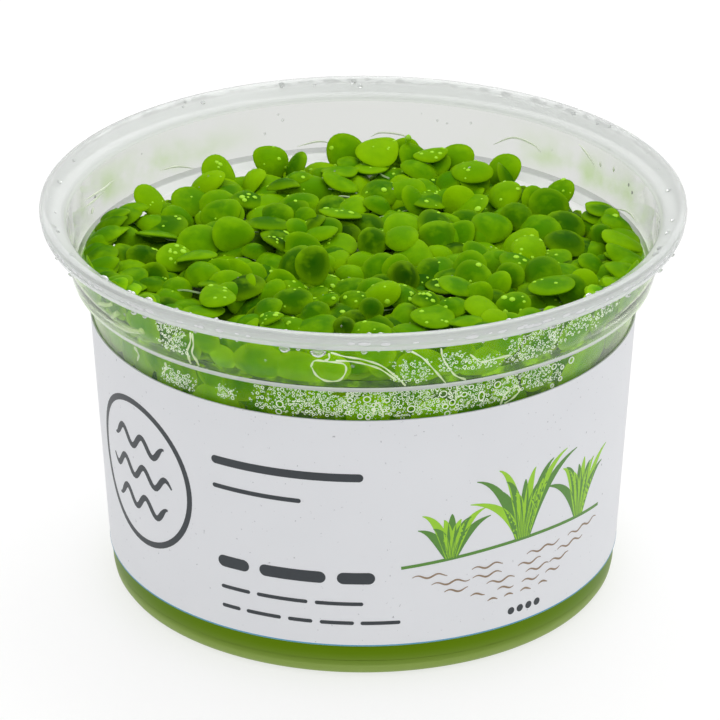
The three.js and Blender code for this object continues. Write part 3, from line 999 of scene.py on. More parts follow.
def make_fronds(name, fronds, template, replaces=(), points=None, material=None):
    """One piece of many fronds, with their tones"""
    edge, turn, side, faces = template
    placed = frond_points(fronds, edge, turn, side) if points is None else points
    flat, all_faces = repeated(faces, placed)
    count = len(fronds["length"])
    values = {
        "tone": np.repeat(fronds["tone"], len(edge)),
        "edge": np.tile(edge, count),
        "under": np.tile((side < 0).astype(float), count),
    }
    make_piece(
        name, flat, all_faces, [material or LEAF], slot="duckweed", replaces=replaces, attributes=values,
    )


# Colonies at the CAD nodes' places: the same sums, in the same order, as the part's source

def random_numbers(seed):
    """A small repeatable generator of numbers from 0 to 1"""
    state = seed

    def draw():
        nonlocal state
        state = (1664525 * state + 1013904223) % 4294967296
        return state / 4294967296

    return draw


def between(ends, share):
    """The value a share of the way from one end to the other"""
    return ends[0] + (ends[1] - ends[0]) * share


def from_axis(distance, angle):
    """Place (x, y) at a distance from the tub's axis, the angle in radians from +X"""
    return distance * math.cos(angle), distance * math.sin(angle)


def colony_plan(grown, buds, draw):
    """Sizes and directions of a colony's fronds round its node: length, width, turn, pitch"""
    fronds = []
    for index in range(grown + buds):
        scale = DAUGHTER_SCALE if index > 1 else 1
        full_length = between(FROND_LENGTH, draw()) * scale
        length = full_length if index < grown else BUD_LENGTH
        width = length * between(FROND_SLIMNESS, draw())
        turn = 360 / (grown + buds) * index + (draw() - 0.5) * TURN_VARIATION
        fronds.append((length, width, turn, between(FROND_PITCH, draw())))
    return fronds


def covering_circles(frond, spot):
    """Circles that cover a frond in plan, as (x, y, radius)"""
    length, width, turn, _ = frond
    angle = math.radians(spot[2] + turn)
    reaches = [length * (share - NODE_SHARE) for share in COVER_SHARES]
    return [(spot[0] + math.cos(angle) * reach, spot[1] + math.sin(angle) * reach, width * COVER_RADIUS)
            for reach in reaches]


def is_free(circles, taken):
    """Whether circles lie in the pond and clear of those taken"""
    for x, y, radius in circles:
        if math.hypot(x, y) + radius >= POND_RADIUS:
            return False
        if any(math.hypot(x - a, y - b) <= radius + c + COLONY_GAP for a, b, c in taken):
            return False
    return True


def standing_colonies(taken):
    """(fronds, spot, height of the node, lean) of the colonies on edge at the back wall"""
    found = []
    for place, length, lean in STANDING:
        width = length * STANDING_SLIMNESS
        angle = math.radians(place)
        spot = (*from_axis(STANDING_RADIUS, angle), place)
        taken += covering_circles((length, width, 0, 0), spot)
        back_reach = rear_reach(length, width)
        drop = max(
            back_reach * math.cos(math.radians(180 - BACK_ANGLE)) * math.sin(math.radians(lean)),
            FROND_BELLY * math.cos(math.radians(lean)),
        )
        foot = surface_height(STANDING_RADIUS) + CONTENTS_GAP
        found.append(([(length, width, 0, 0)], spot, foot + drop, lean))
    return found


def rear_reach(length, width):
    """Distance from the node back to the oval's edge at the outline's rearmost angle"""
    rear = 4 * NODE_SHARE * (1 - NODE_SHARE)
    angle = math.radians(BACK_ANGLE)
    along, across = math.cos(angle) / (length / 2), math.sin(angle) / (width / 2)
    middle = 1 - 2 * NODE_SHARE
    square = along * along + across * across
    half = along * middle
    return (half + math.sqrt(half * half + square * rear)) / square


def floating_colonies(taken):
    """The same for the colonies that float flat, the largest first"""
    draw = random_numbers(RANDOM_SEED)
    found = []
    for grown, buds, wanted, tries in COLONY_KINDS:
        placed = 0
        for _ in range(tries):
            if placed == wanted:
                break
            fronds = colony_plan(grown, buds, draw)
            distance = POND_RADIUS * math.sqrt(draw())
            spot = (*from_axis(distance, 2 * math.pi * draw()), 360 * draw())
            circles = [circle for frond in fronds for circle in covering_circles(frond, spot)]
            if is_free(circles, taken):
                taken += circles
                placed += 1
                height = surface_height(distance) + CONTENTS_GAP + FROND_BELLY
                found.append((fronds, spot, height, 0))
    return found


# Looks of the colonies: degrees of roll and its spread, and the darkest tone of the standing ones, which are
# kept light as painted back light
COLONY_ROLL, ROLL_SPREAD = 15, 7
STANDING_BACKLIT_TONE = 0.62


def colony_set(colony):
    """The fronds of one colony as a set"""
    fronds, spot, height, lean = colony
    length, width, turn, pitch = (np.array(column, dtype=float) for column in zip(*fronds))
    heading = spot[2] + turn
    if lean == 0:
        pitch = pitch * (0.6 + 0.8 * np.sin(np.radians(heading)))
        roll = COLONY_ROLL * np.cos(np.radians(heading)) + shape_random.normal(0, ROLL_SPREAD, len(fronds))
    else:
        roll = 0.0
    axes = frond_axes(heading, pitch + lean, roll)
    nodes = np.tile([spot[0], spot[1], height], (len(fronds), 1))
    made = frond_set(length, width, nodes, axes)
    # Painted back light: standing fronds get only the lighter tones
    if lean:
        made["tone"] = between((STANDING_BACKLIT_TONE, 1), made["tone"])
    return made


# Pile of smaller groups between and on the colonies

FIELD_PITCH = 0.3
FIELD_HALF = 36.0
TOP_LIMIT = 44.3
STEEPEST = math.tan(math.radians(48))
FRONT_TILT = 0.34
# A frond whose upright axis rises less than this stands on edge and carries nothing
STANDS_ON_EDGE = 0.3
STAMP_CROWN, STAMP_REACH = 0.3, 0.6
GROUP_REACH = 6.5
# A group rests on the highest cell of each sector round it, at this share of their slope
SECTORS = 8
SLOPE_SHARE = 0.8
RESTING_PERCENTILE = 90
# At the back the pile leaves a strip free: past BACK_REACH, where y is over this share of the distance
BACK_REACH, BACK_STRIP = 28.6, 0.42
# Lengths of fronds in a group, the first and the others, and width over length
GROWN, YOUNG = (4.4, 6.1), (3.3, 5.2)
PILE_SLIMNESS, WALL_SLIMNESS = (0.76, 0.95), (0.78, 0.95)


class Pile:
    """Heights of the pile's top on a grid, on which fronds come to rest"""

    def __init__(self):
        self.axis = np.arange(-FIELD_HALF, FIELD_HALF + FIELD_PITCH / 2, FIELD_PITCH)
        x, y = np.meshgrid(self.axis, self.axis, indexing="ij")
        distance = np.hypot(x, y)
        self.height = surface_height(distance) - LUMP_DEPTH * hollow(x, y)
        self.x, self.y = x, y

    def window(self, x, y, reach):
        """The part of the grid round a place"""
        low = np.searchsorted(self.axis, [x - reach, y - reach])
        high = np.searchsorted(self.axis, [x + reach, y + reach])
        return slice(low[0], high[0]), slice(low[1], high[1])

    def stamp(self, fronds):
        """Raises the top to the fronds' upper faces"""
        for length, width, node, axes in zip(*[fronds[key] for key in ("length", "width", "node", "axes")]):
            if axes[2, 2] < STANDS_ON_EDGE:
                continue
            middle = node + axes[:, 0] * length * MIDDLE_SHARE
            part = self.window(middle[0], middle[1], length * STAMP_REACH)
            dx, dy = self.x[part] - middle[0], self.y[part] - middle[1]
            dz = -(axes[0, 2] * dx + axes[1, 2] * dy) / axes[2, 2]
            along = (dx * axes[0, 0] + dy * axes[1, 0] + dz * axes[2, 0]) / (length / 2)
            across = (dx * axes[0, 1] + dy * axes[1, 1] + dz * axes[2, 1]) / (width / 2)
            inside = along**2 + across**2 < 1
            crown = STAMP_CROWN * np.sqrt(np.maximum(1 - along**2 - across**2, 0))
            top = middle[2] + dz + crown
            self.height[part] = np.where(inside, np.maximum(self.height[part], top), self.height[part])

    def footprint(self, x, y, fronds):
        """Places and heights of the cells under a group with its node at (x, y), as if it lay flat"""
        part = self.window(x, y, GROUP_REACH)
        dx, dy = self.x[part] - x, self.y[part] - y
        under = np.zeros(dx.shape, dtype=bool)
        for length, width, heading in fronds:
            cosine, sine = math.cos(heading), math.sin(heading)
            along = (dx * cosine + dy * sine - length * MIDDLE_SHARE) / (length / 2)
            across = (dy * cosine - dx * sine) / (width / 2)
            under |= along**2 + across**2 < 1
        return dx[under], dy[under], self.height[part][under]

    def rest(self, x, y, fronds, extra_tilt):
        """Plane (height at the node, slope x, slope y) on which a group comes to rest"""
        dx, dy, height = self.footprint(x, y, fronds)
        around = np.arctan2(dy - dy.mean(), dx - dx.mean()) + math.pi
        sector = np.floor(around / (2 * math.pi / SECTORS)).astype(int) % SECTORS
        peaks = [np.flatnonzero(sector == s)[np.argmax(height[sector == s])] for s in np.unique(sector)]
        system = np.stack([np.ones(len(peaks)), dx[peaks], dy[peaks]], axis=1)
        _, slope_x, slope_y = np.linalg.lstsq(system, height[peaks], rcond=None)[0]
        slope_x, slope_y = SLOPE_SHARE * slope_x + extra_tilt[0], SLOPE_SHARE * slope_y + extra_tilt[1]
        steep = max(1.0, math.hypot(slope_x, slope_y) / STEEPEST)
        slope_x, slope_y = slope_x / steep, slope_y / steep
        return np.percentile(height - slope_x * dx - slope_y * dy, RESTING_PERCENTILE), slope_x, slope_y


def tilted_axes(heading, slope_x, slope_y, pitch):
    """Axes of fronds that lie on a sloping plane, each raised by its own pitch in degrees"""
    up = np.array([-slope_x, -slope_y, 1.0])
    up /= np.linalg.norm(up)
    cosine, sine = np.cos(heading), np.sin(heading)
    tip = np.stack([cosine, sine, slope_x * cosine + slope_y * sine], axis=-1)
    tip /= np.linalg.norm(tip, axis=1)[:, None]
    raise_by = np.radians(pitch)[:, None]
    raised = tip * np.cos(raise_by) + up * np.sin(raise_by)
    across = np.cross(up, tip)
    return np.stack([raised, across, np.cross(raised, across)], axis=-1)


def random_spot(reach):
    """A random place (x, y) within reach of the tub's axis"""
    distance = reach * math.sqrt(shape_random.uniform())
    return from_axis(distance, shape_random.uniform(0, 2 * math.pi))


def settled_group(pile, count, scale, reach, tries, tilt, clearance):
    """One to three fronds from one node, at the lowest of several places; None where that is too high"""
    draw = shape_random.uniform
    length = np.array([draw(*limits) for limits in [GROWN, YOUNG, YOUNG][:count]]) * scale
    width = length * draw(*PILE_SLIMNESS, count)
    heading = draw(0, 2 * math.pi) + np.arange(count) * 2 * math.pi / max(count, 2) + draw(-0.3, 0.3, count)
    best = None
    for _ in range(tries):
        x, y = random_spot(reach)
        tip_x, tip_y = x + length * TIP_SHARE * np.cos(heading), y + length * TIP_SHARE * np.sin(heading)
        tips = np.hypot(tip_x, tip_y)
        if tips.max() > reach + 1.0 or np.any((tips > BACK_REACH) & (tip_y > BACK_STRIP * tips)):
            continue
        height = pile.footprint(x, y, list(zip(length, width, heading)))[2]
        if best is None or height.mean() < best[0]:
            best = (height.mean(), x, y)
    if best is None:
        return None
    _, x, y = best
    lean = shape_random.normal([0, FRONT_TILT], tilt)
    node_height, slope_x, slope_y = pile.rest(x, y, list(zip(length, width, heading)), lean)
    axes = tilted_axes(heading, slope_x, slope_y, draw(0, 9, count))
    nodes = np.tile([x, y, node_height + clearance], (count, 1))
    if (nodes[:, 2] + axes[:, 2, 0] * length * TIP_SHARE).max() > TOP_LIMIT:
        return None
    return frond_set(length, width, nodes, axes)


def settled_layer(pile, groups, scale, reach, tries, tilt, clearance, shares):
    """Many groups, each resting on those before; shares are those of one, two and three fronds"""
    sets = []
    for _ in range(groups):
        count = 1 + int(np.searchsorted(np.cumsum(shares), shape_random.uniform(0, 1)))
        group = settled_group(pile, count, scale, reach, tries, tilt, clearance)
        if group is not None:
            pile.stamp(group)
            sets.append(group)
    return joined(sets)


def make_plants():
    """The colonies of the CAD nodes, with layers of smaller groups under, between and on them"""
    taken = []
    colonies = standing_colonies(taken) + floating_colonies(taken)
    pile = Pile()
    low = settled_layer(
        pile, groups=170, scale=0.95, reach=32.4, tries=10, tilt=0.15, clearance=0.12, shares=[0.6, 0.3, 0.1],
    )
    make_fronds("fronds_between", low, PLAIN)
    sets = [colony_set(colony) for colony in colonies]
    for number, one in enumerate(sets, start=1):
        make_fronds(f"colony_{number:02d}", one, FINE, replaces=[f"duckweed_{number:02d}"])
        pile.stamp(one)
    front = leaning_set(60, azimuths=(-68, 68), lengths=(4.2, 6.0), slope=(-46, -2), tones=(0.0, 0.6))
    back = joined([
        leaning_set(20, azimuths, lengths=(4.0, 5.6), slope=(-24, 0), tones=(0.3, 0.9))
        for azimuths in [(-116, -68), (68, 116)]
    ])
    make_fronds("fronds_on_ledge_front", front, FINE, material=WALL_LEAF_PAINTED_LIGHT)
    make_fronds("fronds_on_ledge_back", back, FINE)
    pile.stamp(front)
    pile.stamp(back)
    top = settled_layer(
        pile, groups=112, scale=1.0, reach=32.2, tries=6, tilt=0.3, clearance=0.2, shares=[0.45, 0.35, 0.2],
    )
    make_fronds("fronds_on_top", top, FINE)
    make_pressed("fronds_on_wall", 170, azimuths=(-180, 180), lengths=(4.4, 6.4), heights=(34.6, 39.2),
                 limits=(32.5, 40.8), tones=(0.0, 0.6), gaps=(0.55, 1.0))
    make_pressed("fronds_in_collar", 26, azimuths=(-74, 76), lengths=(5.2, 6.6), heights=(42.3, 45.0),
                 limits=(40.98, 46.9), tones=(0.0, 0.5), gaps=(0.6, 1.1))
    make_placed("fronds_seen_in_collar", COLLAR_FRONDS)
    make_placed("fronds_seen_under_ledge", WALL_FRONDS)
    make_pressed("fronds_at_foot", 110, azimuths=(-180, 180), lengths=(4.0, 5.8), heights=(3.0, 4.4),
                 limits=(1.15, 8.0), tones=(0, 0.6), gaps=(0.1, 0.4))
    make_steep(44)
    make_beads("beads_on_colonies", joined(sets), share=0.7, per_frond=(2, 10))
    make_beads("beads_on_top", top, share=0.65, per_frond=(2, 9))
    make_beads("glints_on_top", top, share=0.12, per_frond=(1, 3), radii=(0.09, 0.2), material=DROP)


# Fronds against the wall

# The share of its depth that a flattened frond keeps
PRESSED_DEPTH = 0.4


def wall_set(count, lengths, tones):
    """Fronds to be placed later, with tones between two limits"""
    length = shape_random.uniform(*lengths, count)
    still = np.tile(np.eye(3), (count, 1, 1))
    width = length * shape_random.uniform(*WALL_SLIMNESS, count)
    fronds = frond_set(length, width, np.zeros((count, 3)), still)
    fronds["tone"] = shape_random.uniform(*tones, count)
    return fronds


def pressed_points(fronds, azimuth, height, heading, gap):
    """Points of fronds flattened against the inner face of the wall, gap millimetres from it"""
    edge, turn, side, _ = FINE
    local = frond_local(fronds, edge, turn, side)
    cosine, sine = np.cos(heading)[:, None], np.sin(heading)[:, None]
    along = local[..., 0] - fronds["length"][:, None] * MIDDLE_SHARE
    sideways = along * cosine - local[..., 1] * sine
    heights = height[:, None] + along * sine + local[..., 1] * cosine
    depth = PRESSED_DEPTH * (local[..., 2].max(axis=1)[:, None] - local[..., 2]) + gap[:, None]
    radius = inner_radius(heights) - depth
    return round_tub(azimuth[:, None] + np.degrees(sideways / radius), radius, heights)


def make_pressed(name, count, azimuths, lengths, heights, limits, tones, gaps):
    """Fronds flattened on the wall between two azimuths, none past the two limits of height"""
    fronds = wall_set(count, lengths, tones)
    draw = shape_random.uniform
    azimuth = azimuths[0] + (np.arange(count) + draw(-0.8, 0.8, count)) * (azimuths[1] - azimuths[0]) / count
    height = between(heights, draw(0, 1, count))
    heading, gap = draw(0, 2 * math.pi, count), draw(*gaps, count)
    points = pressed_points(fronds, azimuth, height, heading, gap)
    low, high = points[..., 2].min(axis=1), points[..., 2].max(axis=1)
    shift = np.maximum(limits[0] - low, 0) - np.maximum(high - limits[1], 0)
    points = pressed_points(fronds, azimuth, height + shift, heading, gap)
    make_fronds(name, fronds, FINE, points=points, material=WALL_LEAF_PAINTED_LIGHT)


# Large fronds that show through the wall: azimuth, height, heading in degrees, length, tone
COLLAR_FRONDS = [
    (-66, 44.4, 40, 5.4, 0.5), (-57, 45.0, -20, 5.2, 0.35), (-47.5, 43.8, 5, 6.2, 0.6),
    (-36.5, 43.2, 50, 5.0, 0.35), (-31.5, 45.0, 10, 4.4, 0.6), (-28, 43.0, 95, 4.0, 0.95),
    (-20.5, 43.4, 10, 6.8, 0.6), (-12.6, 43.2, 4, 6.4, 0.85), (-6, 43.6, -8, 4.6, 1.0),
    (2.2, 45.8, -16, 5.0, 0.8), (10.6, 43.4, -34, 6.2, 0.75), (17.6, 44.2, 30, 5.4, 0.6),
    (23.4, 43.0, 8, 6.0, 1.0), (27.5, 45.3, 4, 5.6, 0.7), (36, 43.8, 30, 6.0, 0.45),
    (45, 43.6, 16, 6.0, 0.6), (54.5, 43.8, 28, 5.8, 0.4), (63.5, 44.2, 10, 5.8, 0.5),
]
WALL_FRONDS = [
    (-60, 37.6, 60, 5.6, 0.8), (-49, 38.6, 20, 5.4, 0.55), (-41.5, 37.9, 140, 5.2, 0.4),
    (-33.2, 34.8, 0, 7.2, 1.0), (-33.5, 39.1, 150, 5.0, 0.6), (-26.5, 38.8, 12, 5.4, 0.45),
    (-17, 37.6, 30, 5.2, 0.5), (-8, 38.6, -20, 5.4, 0.7), (1, 36.4, 15, 5.4, 0.9), (9, 38.8, 30, 5.0, 0.35),
    (15, 35.4, 0, 6.0, 0.9), (23.5, 38.6, 50, 5.0, 0.5), (31.2, 37.4, 24, 3.8, 0.75),
    (39.5, 38.3, 26, 5.4, 0.5), (51.4, 36.1, 24, 6.6, 1.0), (59.0, 37.9, 68, 6.2, 1.0),
    (68, 38.2, 40, 5.6, 0.6), (-54.4, 36.9, 100, 5.2, 0.95), (-45.4, 36.6, 30, 5.2, 0.85),
    (-67, 37.6, 0, 5.4, 0.9), (-74, 38.4, 50, 5.6, 0.7), (75, 38.0, -20, 5.4, 0.8),
]


def make_placed(name, places):
    """Fronds flattened on the wall, each at a place of its own"""
    azimuth, height, heading, length, tone = np.array(places, dtype=float).T
    fronds = wall_set(len(places), (5, 6), (0, 1))
    fronds["width"] *= length / fronds["length"]
    fronds["length"], fronds["tone"] = length, tone
    gap = shape_random.uniform(0.22, 0.34, len(places))
    points = pressed_points(fronds, azimuth, height, np.radians(heading), gap)
    make_fronds(name, fronds, FINE, points=points, material=WALL_LEAF_PAINTED_LIGHT)


STEEP_REACH, STEEP_FOOT = 30.5, 41.4
LEDGE_REST, LEDGE_WALL_GAP, FROND_MARGIN = 1.3, 0.3, 1.08


def make_steep(count):
    """Fronds that stand almost on edge in the gaps of the pond"""
    fronds = wall_set(count, (4.2, 5.6), (0.3, 1.0))
    draw = shape_random.uniform
    distance, around = STEEP_REACH * np.sqrt(draw(0, 1, count)), draw(0, 2 * math.pi, count)
    heading, pitch, roll = draw(20, 160, count), draw(24, 58, count), draw(-25, 25, count)
    fronds["axes"] = frond_axes(heading, pitch, roll)
    rise = fronds["length"] * TIP_SHARE * np.sin(np.radians(pitch))
    height = np.minimum(STEEP_FOOT, TOP_LIMIT - rise)
    fronds["node"] = np.stack([distance * np.cos(around), distance * np.sin(around), height], axis=1)
    make_fronds("fronds_on_edge", fronds, FINE)


def leaning_set(count, azimuths, lengths, slope, tones):
    """Fronds on the ledge between two azimuths, their outer side up or down by slope degrees"""
    fronds = wall_set(count, lengths, tones)
    draw = shape_random.uniform
    azimuth = np.linspace(*azimuths, count) + draw(-1.6, 1.6, count)
    raised, heading = np.radians(draw(*slope, count)), draw(0, 2 * math.pi, count)
    half = np.hypot(fronds["length"] / 2 * np.sin(heading), fronds["width"] / 2 * np.cos(heading))
    half *= FROND_MARGIN
    height = LEDGE_UNDERSIDE + LEDGE_REST + half * np.abs(np.sin(raised)) + draw(0, 0.5, count)
    radius = inner_radius(height + half * np.sin(raised)) - LEDGE_WALL_GAP - half * np.cos(raised)
    outward = round_tub(azimuth, 1, 0)
    around = np.cross([0, 0, 1], outward)
    slant = outward * np.cos(raised)[:, None] + np.array([0, 0, 1]) * np.sin(raised)[:, None]
    tip = around * np.cos(heading)[:, None] + slant * np.sin(heading)[:, None]
    up = np.cross(around, slant)
    up *= np.sign(up[:, 2])[:, None]
    fronds["axes"] = np.stack([tip, np.cross(up, tip), up], axis=-1)
    middle = round_tub(azimuth, radius, height)
    fronds["node"] = middle - tip * (fronds["length"] * MIDDLE_SHARE)[:, None]
    return fronds


# Small rounds, tubes and rings

DOME_SINK = -0.3
BEAD_FLATNESS = 0.35
TUBE_TIP = 0.05
RING_GAP = 0.06


def dome_template(segments=8, rows=3):
    """A low closed dome of unit radius standing on z = 0, with its faces"""
    turns = np.linspace(0, 2 * math.pi, segments, endpoint=False)
    points = [[(0.0, 0.0, DOME_SINK)]]
    for row in range(rows + 1):
        rise = row / (rows + 1) * math.pi / 2
        wide = math.cos(rise)
        ring = np.broadcast_arrays(wide * np.cos(turns), wide * np.sin(turns), math.sin(rise))
        points.append(np.stack(ring, axis=1))
    points = np.concatenate([*points, [(0.0, 0.0, 1.0)]])
    return points, between_poles(rows + 1, segments, 1, 0, len(points) - 1)


DOME = dome_template()


def make_drops(name, material, places, normals, radii, flatness, stretch=None):
    """Domes on a surface, flatness being their height over radius and stretch their length over it"""
    template, faces = DOME
    normals = normals / np.linalg.norm(normals, axis=1)[:, None]
    helper = np.where(np.abs(normals[:, 2:]) > 0.9, [[1.0, 0, 0]], [[0, 0, 1.0]])
    first = np.cross(helper, normals)
    first /= np.linalg.norm(first, axis=1)[:, None]
    second = np.cross(normals, first)
    wide = radii if stretch is None else radii * stretch
    points = places[:, None, :] + wide[:, None, None] * template[None, :, :1] * first[:, None, :]
    points = points + radii[:, None, None] * template[None, :, 1:2] * second[:, None, :]
    points = points + (radii * flatness)[:, None, None] * template[None, :, 2:] * normals[:, None, :]
    make_piece(name, *repeated(faces, points), [material])


def smooth_path(corners, steps=6):
    """A rounded line through corners"""
    corners = np.asarray(corners, dtype=float)
    padded = np.concatenate([[2 * corners[0] - corners[1]], corners, [2 * corners[-1] - corners[-2]]])
    share = np.linspace(0, 1, steps, endpoint=False)[:, None]
    parts = []
    for a, b, c, d in zip(padded, padded[1:], padded[2:], padded[3:]):
        curve = 2 * b + (c - a) * share + (2 * a - 5 * b + 4 * c - d) * share**2
        parts.append((curve + (3 * b - a - 3 * c + d) * share**3) / 2)
    return np.concatenate(parts + [corners[-1:]])


def tube(path, radii, sides=6):
    """Points and faces of a closed tube along a path, with pointed ends"""
    along = np.gradient(path, axis=0)
    along /= np.linalg.norm(along, axis=1)[:, None]
    first = np.cross(along[0], [0.3, 0.5, 0.81])
    rings = []
    for point, direction, radius in zip(path, along, np.broadcast_to(radii, (len(path),))):
        first = first - direction * first.dot(direction)
        first /= np.linalg.norm(first)
        second = np.cross(direction, first)
        turns = np.linspace(0, 2 * math.pi, sides, endpoint=False)[:, None]
        rings.append(point + radius * (np.cos(turns) * first + np.sin(turns) * second))
    tips = [path[:1] - along[:1] * TUBE_TIP, path[-1:] + along[-1:] * TUBE_TIP]
    size = len(path) * sides
    return np.concatenate(rings + tips), between_poles(len(path), sides, 0, size, size + 1)


def make_rings(name, material, azimuth, height, radius, thickness, oval, steps=14, sides=5):
    """Bubble outlines on the wall's inner face, taller than wide by the factor oval"""
    turns = np.arange(steps) * 2 * math.pi / steps, np.arange(sides) * 2 * math.pi / sides
    u, v = [grid.ravel() for grid in np.meshgrid(*turns, indexing="ij")]
    wide = radius[:, None] + thickness[:, None] * np.cos(v)
    sideways, upward = wide * np.cos(u), wide * np.sin(u) * oval[:, None]
    depth = RING_GAP + thickness[:, None] * (1 - np.sin(v))
    heights = height[:, None] + upward
    inner = inner_radius(heights)
    points = round_tub(azimuth[:, None] + np.degrees(sideways / inner), inner - depth, heights)
    faces = flipped(round_section(list(range(0, steps * sides, sides)), sides))
    make_piece(name, *repeated(faces, points), [material])


# Water on the plants and the tub

def beads_on(fronds, share, per_frond, radii):
    """Places, normals and radii of beads on the upper faces of some of the fronds"""
    places, normals, sizes = [], [], []
    count = len(fronds["length"])
    for index in np.flatnonzero(shape_random.uniform(0, 1, count) < share):
        one = {key: fronds[key][index:index + 1] for key in fronds}
        wanted = shape_random.integers(*per_frond)
        edge = 0.92 * np.sqrt(shape_random.uniform(0, 1, wanted))
        turn = shape_random.uniform(0, 2 * math.pi, wanted)
        place = frond_points(one, edge, turn, np.ones(wanted))[0]
        inward = frond_points(one, edge * 0.9, turn, np.ones(wanted))[0]
        beside = frond_points(one, edge, turn + 0.2, np.ones(wanted))[0]
        normal = np.cross(beside - place, inward - place)
        normal *= np.sign(normal @ one["axes"][0][:, 2])[:, None]
        places.append(place)
        normals.append(normal + 1e-6)
        sizes.append(between(radii, shape_random.beta(1.1, 2.6, wanted)))
    return np.concatenate(places), np.concatenate(normals), np.concatenate(sizes)


def make_beads(name, fronds, share, per_frond, radii=(0.13, 0.5), material=None):
    """Low beads on some of the fronds, by default opaque and lighter green: painted light for the light that
    drops gather
    """
    places, normals, sizes = beads_on(fronds, share, per_frond, radii)
    make_drops(name, material or BEAD_PAINTED_LIGHT, places, normals, sizes, BEAD_FLATNESS)


def make_skirt_drops(count, draw):
    """Long flat drops caught between the skirt's ridges"""
    azimuth, depth = draw(-180, 180, count), shape_random.normal(1.07, 0.12, count)
    face = RIM_RADIUS - SKIRT_LEAN * depth / SKIRT_HEIGHT - RIDGE_RISE
    places, radii = round_tub(azimuth, face, TUB_HEIGHT - depth), draw(0.18, 0.4, count)
    outward = round_tub(azimuth, 1, 0.0)
    make_drops("drops_on_skirt", MILKY_DROP, places, outward, radii, 0.45, draw(1, 2.6, count))


def make_lip_drops(count, draw):
    """Drops on the sloping rim, with two large ones at the left"""
    azimuth, out = np.append(draw(-180, 180, count), [-53.2, -41.0]), np.append(draw(0, 1, count), [0.4, 0.4])
    places = round_tub(azimuth, RIM_RADIUS - LIP_WIDTH - 0.1 - 1.2 * out, TUB_HEIGHT - 0.12 - 0.72 * out)
    radii = np.append(draw(0.15, 0.45, count), [0.6, 0.5])
    make_drops("drops_on_lip", DROP, places, round_tub(azimuth, -0.5, 1.0), radii, 0.7)


def make_hanging_drops(count, draw):
    """Drops under the skirt's foot, with two large ones near the front"""
    azimuth = np.append(draw(-180, 180, count), [-7.7, -13.5])
    radii = np.append(draw(0.16, 0.42, count), [0.95, 0.68])
    foot = TUB_HEIGHT - SKIRT_HEIGHT - radii * 0.25
    places = round_tub(azimuth, RIM_RADIUS - SKIRT_LEAN - SKIRT_THICKNESS / 2, foot)
    make_drops("drops_hanging", DROP, places, round_tub(azimuth, 0.25, -1.0), radii, 0.75)


def make_inside_drops(count, draw):
    """Small drops on the inside of the collar and the rim's slope"""
    azimuth, height = draw(-180, 180, count), draw(44.2, 49.2, count)
    over = np.maximum(height - COLLAR_TOP[1], 0)[:, None]
    places = on_inner_wall(azimuth, np.minimum(height, COLLAR_TOP[1]), 0.0)
    places = places + over * round_tub(azimuth, 1.9, 1.0)
    make_drops("drops_inside", DROP, places, round_tub(azimuth, -1, 0.15), draw(0.08, 0.26, count), 0.4)


def make_tub_drops():
    """Drops on the skirt, on the lip, under the skirt's foot and inside the collar"""
    draw = shape_random.uniform
    make_skirt_drops(190, draw)
    make_lip_drops(46, draw)
    make_hanging_drops(70, draw)
    make_inside_drops(50, draw)


# Roots and foam behind the wall

# Corners of the roots, as pixels of the photograph that were read
WALL_ROOTS = [
    [(470, 354), (481, 361.5), (491, 359), (510, 354)],
    [(191, 332), (191, 341), (188, 352), (191, 360), (200, 367)],
    [(193, 333), (194, 344), (193, 353), (199, 362), (209, 369)],
    [(311, 366), (315, 360), (327, 361), (343, 363), (346, 370), (340, 379), (327, 380), (317, 375),
     (312, 367)],
    [(329, 353), (329, 358), (323, 361)],
    [(331, 352), (345, 356), (363, 359), (381, 365), (395, 375), (405, 384)],
    [(336, 360), (352, 361), (367, 364), (381, 369), (396, 379)],
    [(410, 350), (422, 357), (432, 367), (442, 378), (447, 383)],
    [(441, 348), (443, 358), (450, 369), (456, 375), (465, 378)],
    [(136, 346), (140, 354), (139, 360)],
    [(166, 362), (167, 368), (163, 373)],
    [(373, 415), (375, 405), (378, 403), (382, 410), (383, 416)],
    [(500, 404), (504, 395), (511, 388), (517, 386), (519, 390), (513, 397), (504, 403)],
]
# Radii and corners of the strands, as pixels a few away from the photograph's, so that they meet the wall
THICK_STRANDS = [
    (0.28, [(100, 303), (104, 304), (109, 304), (113, 303)]),
    (0.4, [(118, 312), (113, 316), (112, 319), (116, 323), (123, 327), (131, 330), (141, 331)]),
]
# Pixel and radius of the bud at the end of the lower strand
KNOB, KNOB_RADIUS = (142, 330), 0.62
# Corners of the streaks on the far wall, as pixels
BACK_STREAKS = [
    [(297, 146), (317, 141), (330, 142)],
    [(371, 136), (381, 132), (401, 134), (414, 140)],
    [(494, 144), (514, 137), (534, 144), (542, 152)],
    [(160, 170), (176, 166), (193, 168)],
    [(84, 200), (100, 190), (112, 180)],
    [(84, 207), (93, 200), (103, 191)],
    [(616, 208), (630, 212), (638, 222)],
    [(580, 142), (588, 153), (596, 166)],
    [(601, 161), (602, 167)],
    [(615, 166), (615, 172)],
    [(90, 214), (92, 207)],
]
# Places of the stalk in the pond, in millimetres
STALK = [(5.3, 30.5, 41.8), (5.3, 30.5, 43.0), (5.6, 30.5, 44.0), (5.8, 30.5, 44.8), (5.9, 30.5, 45.5)]
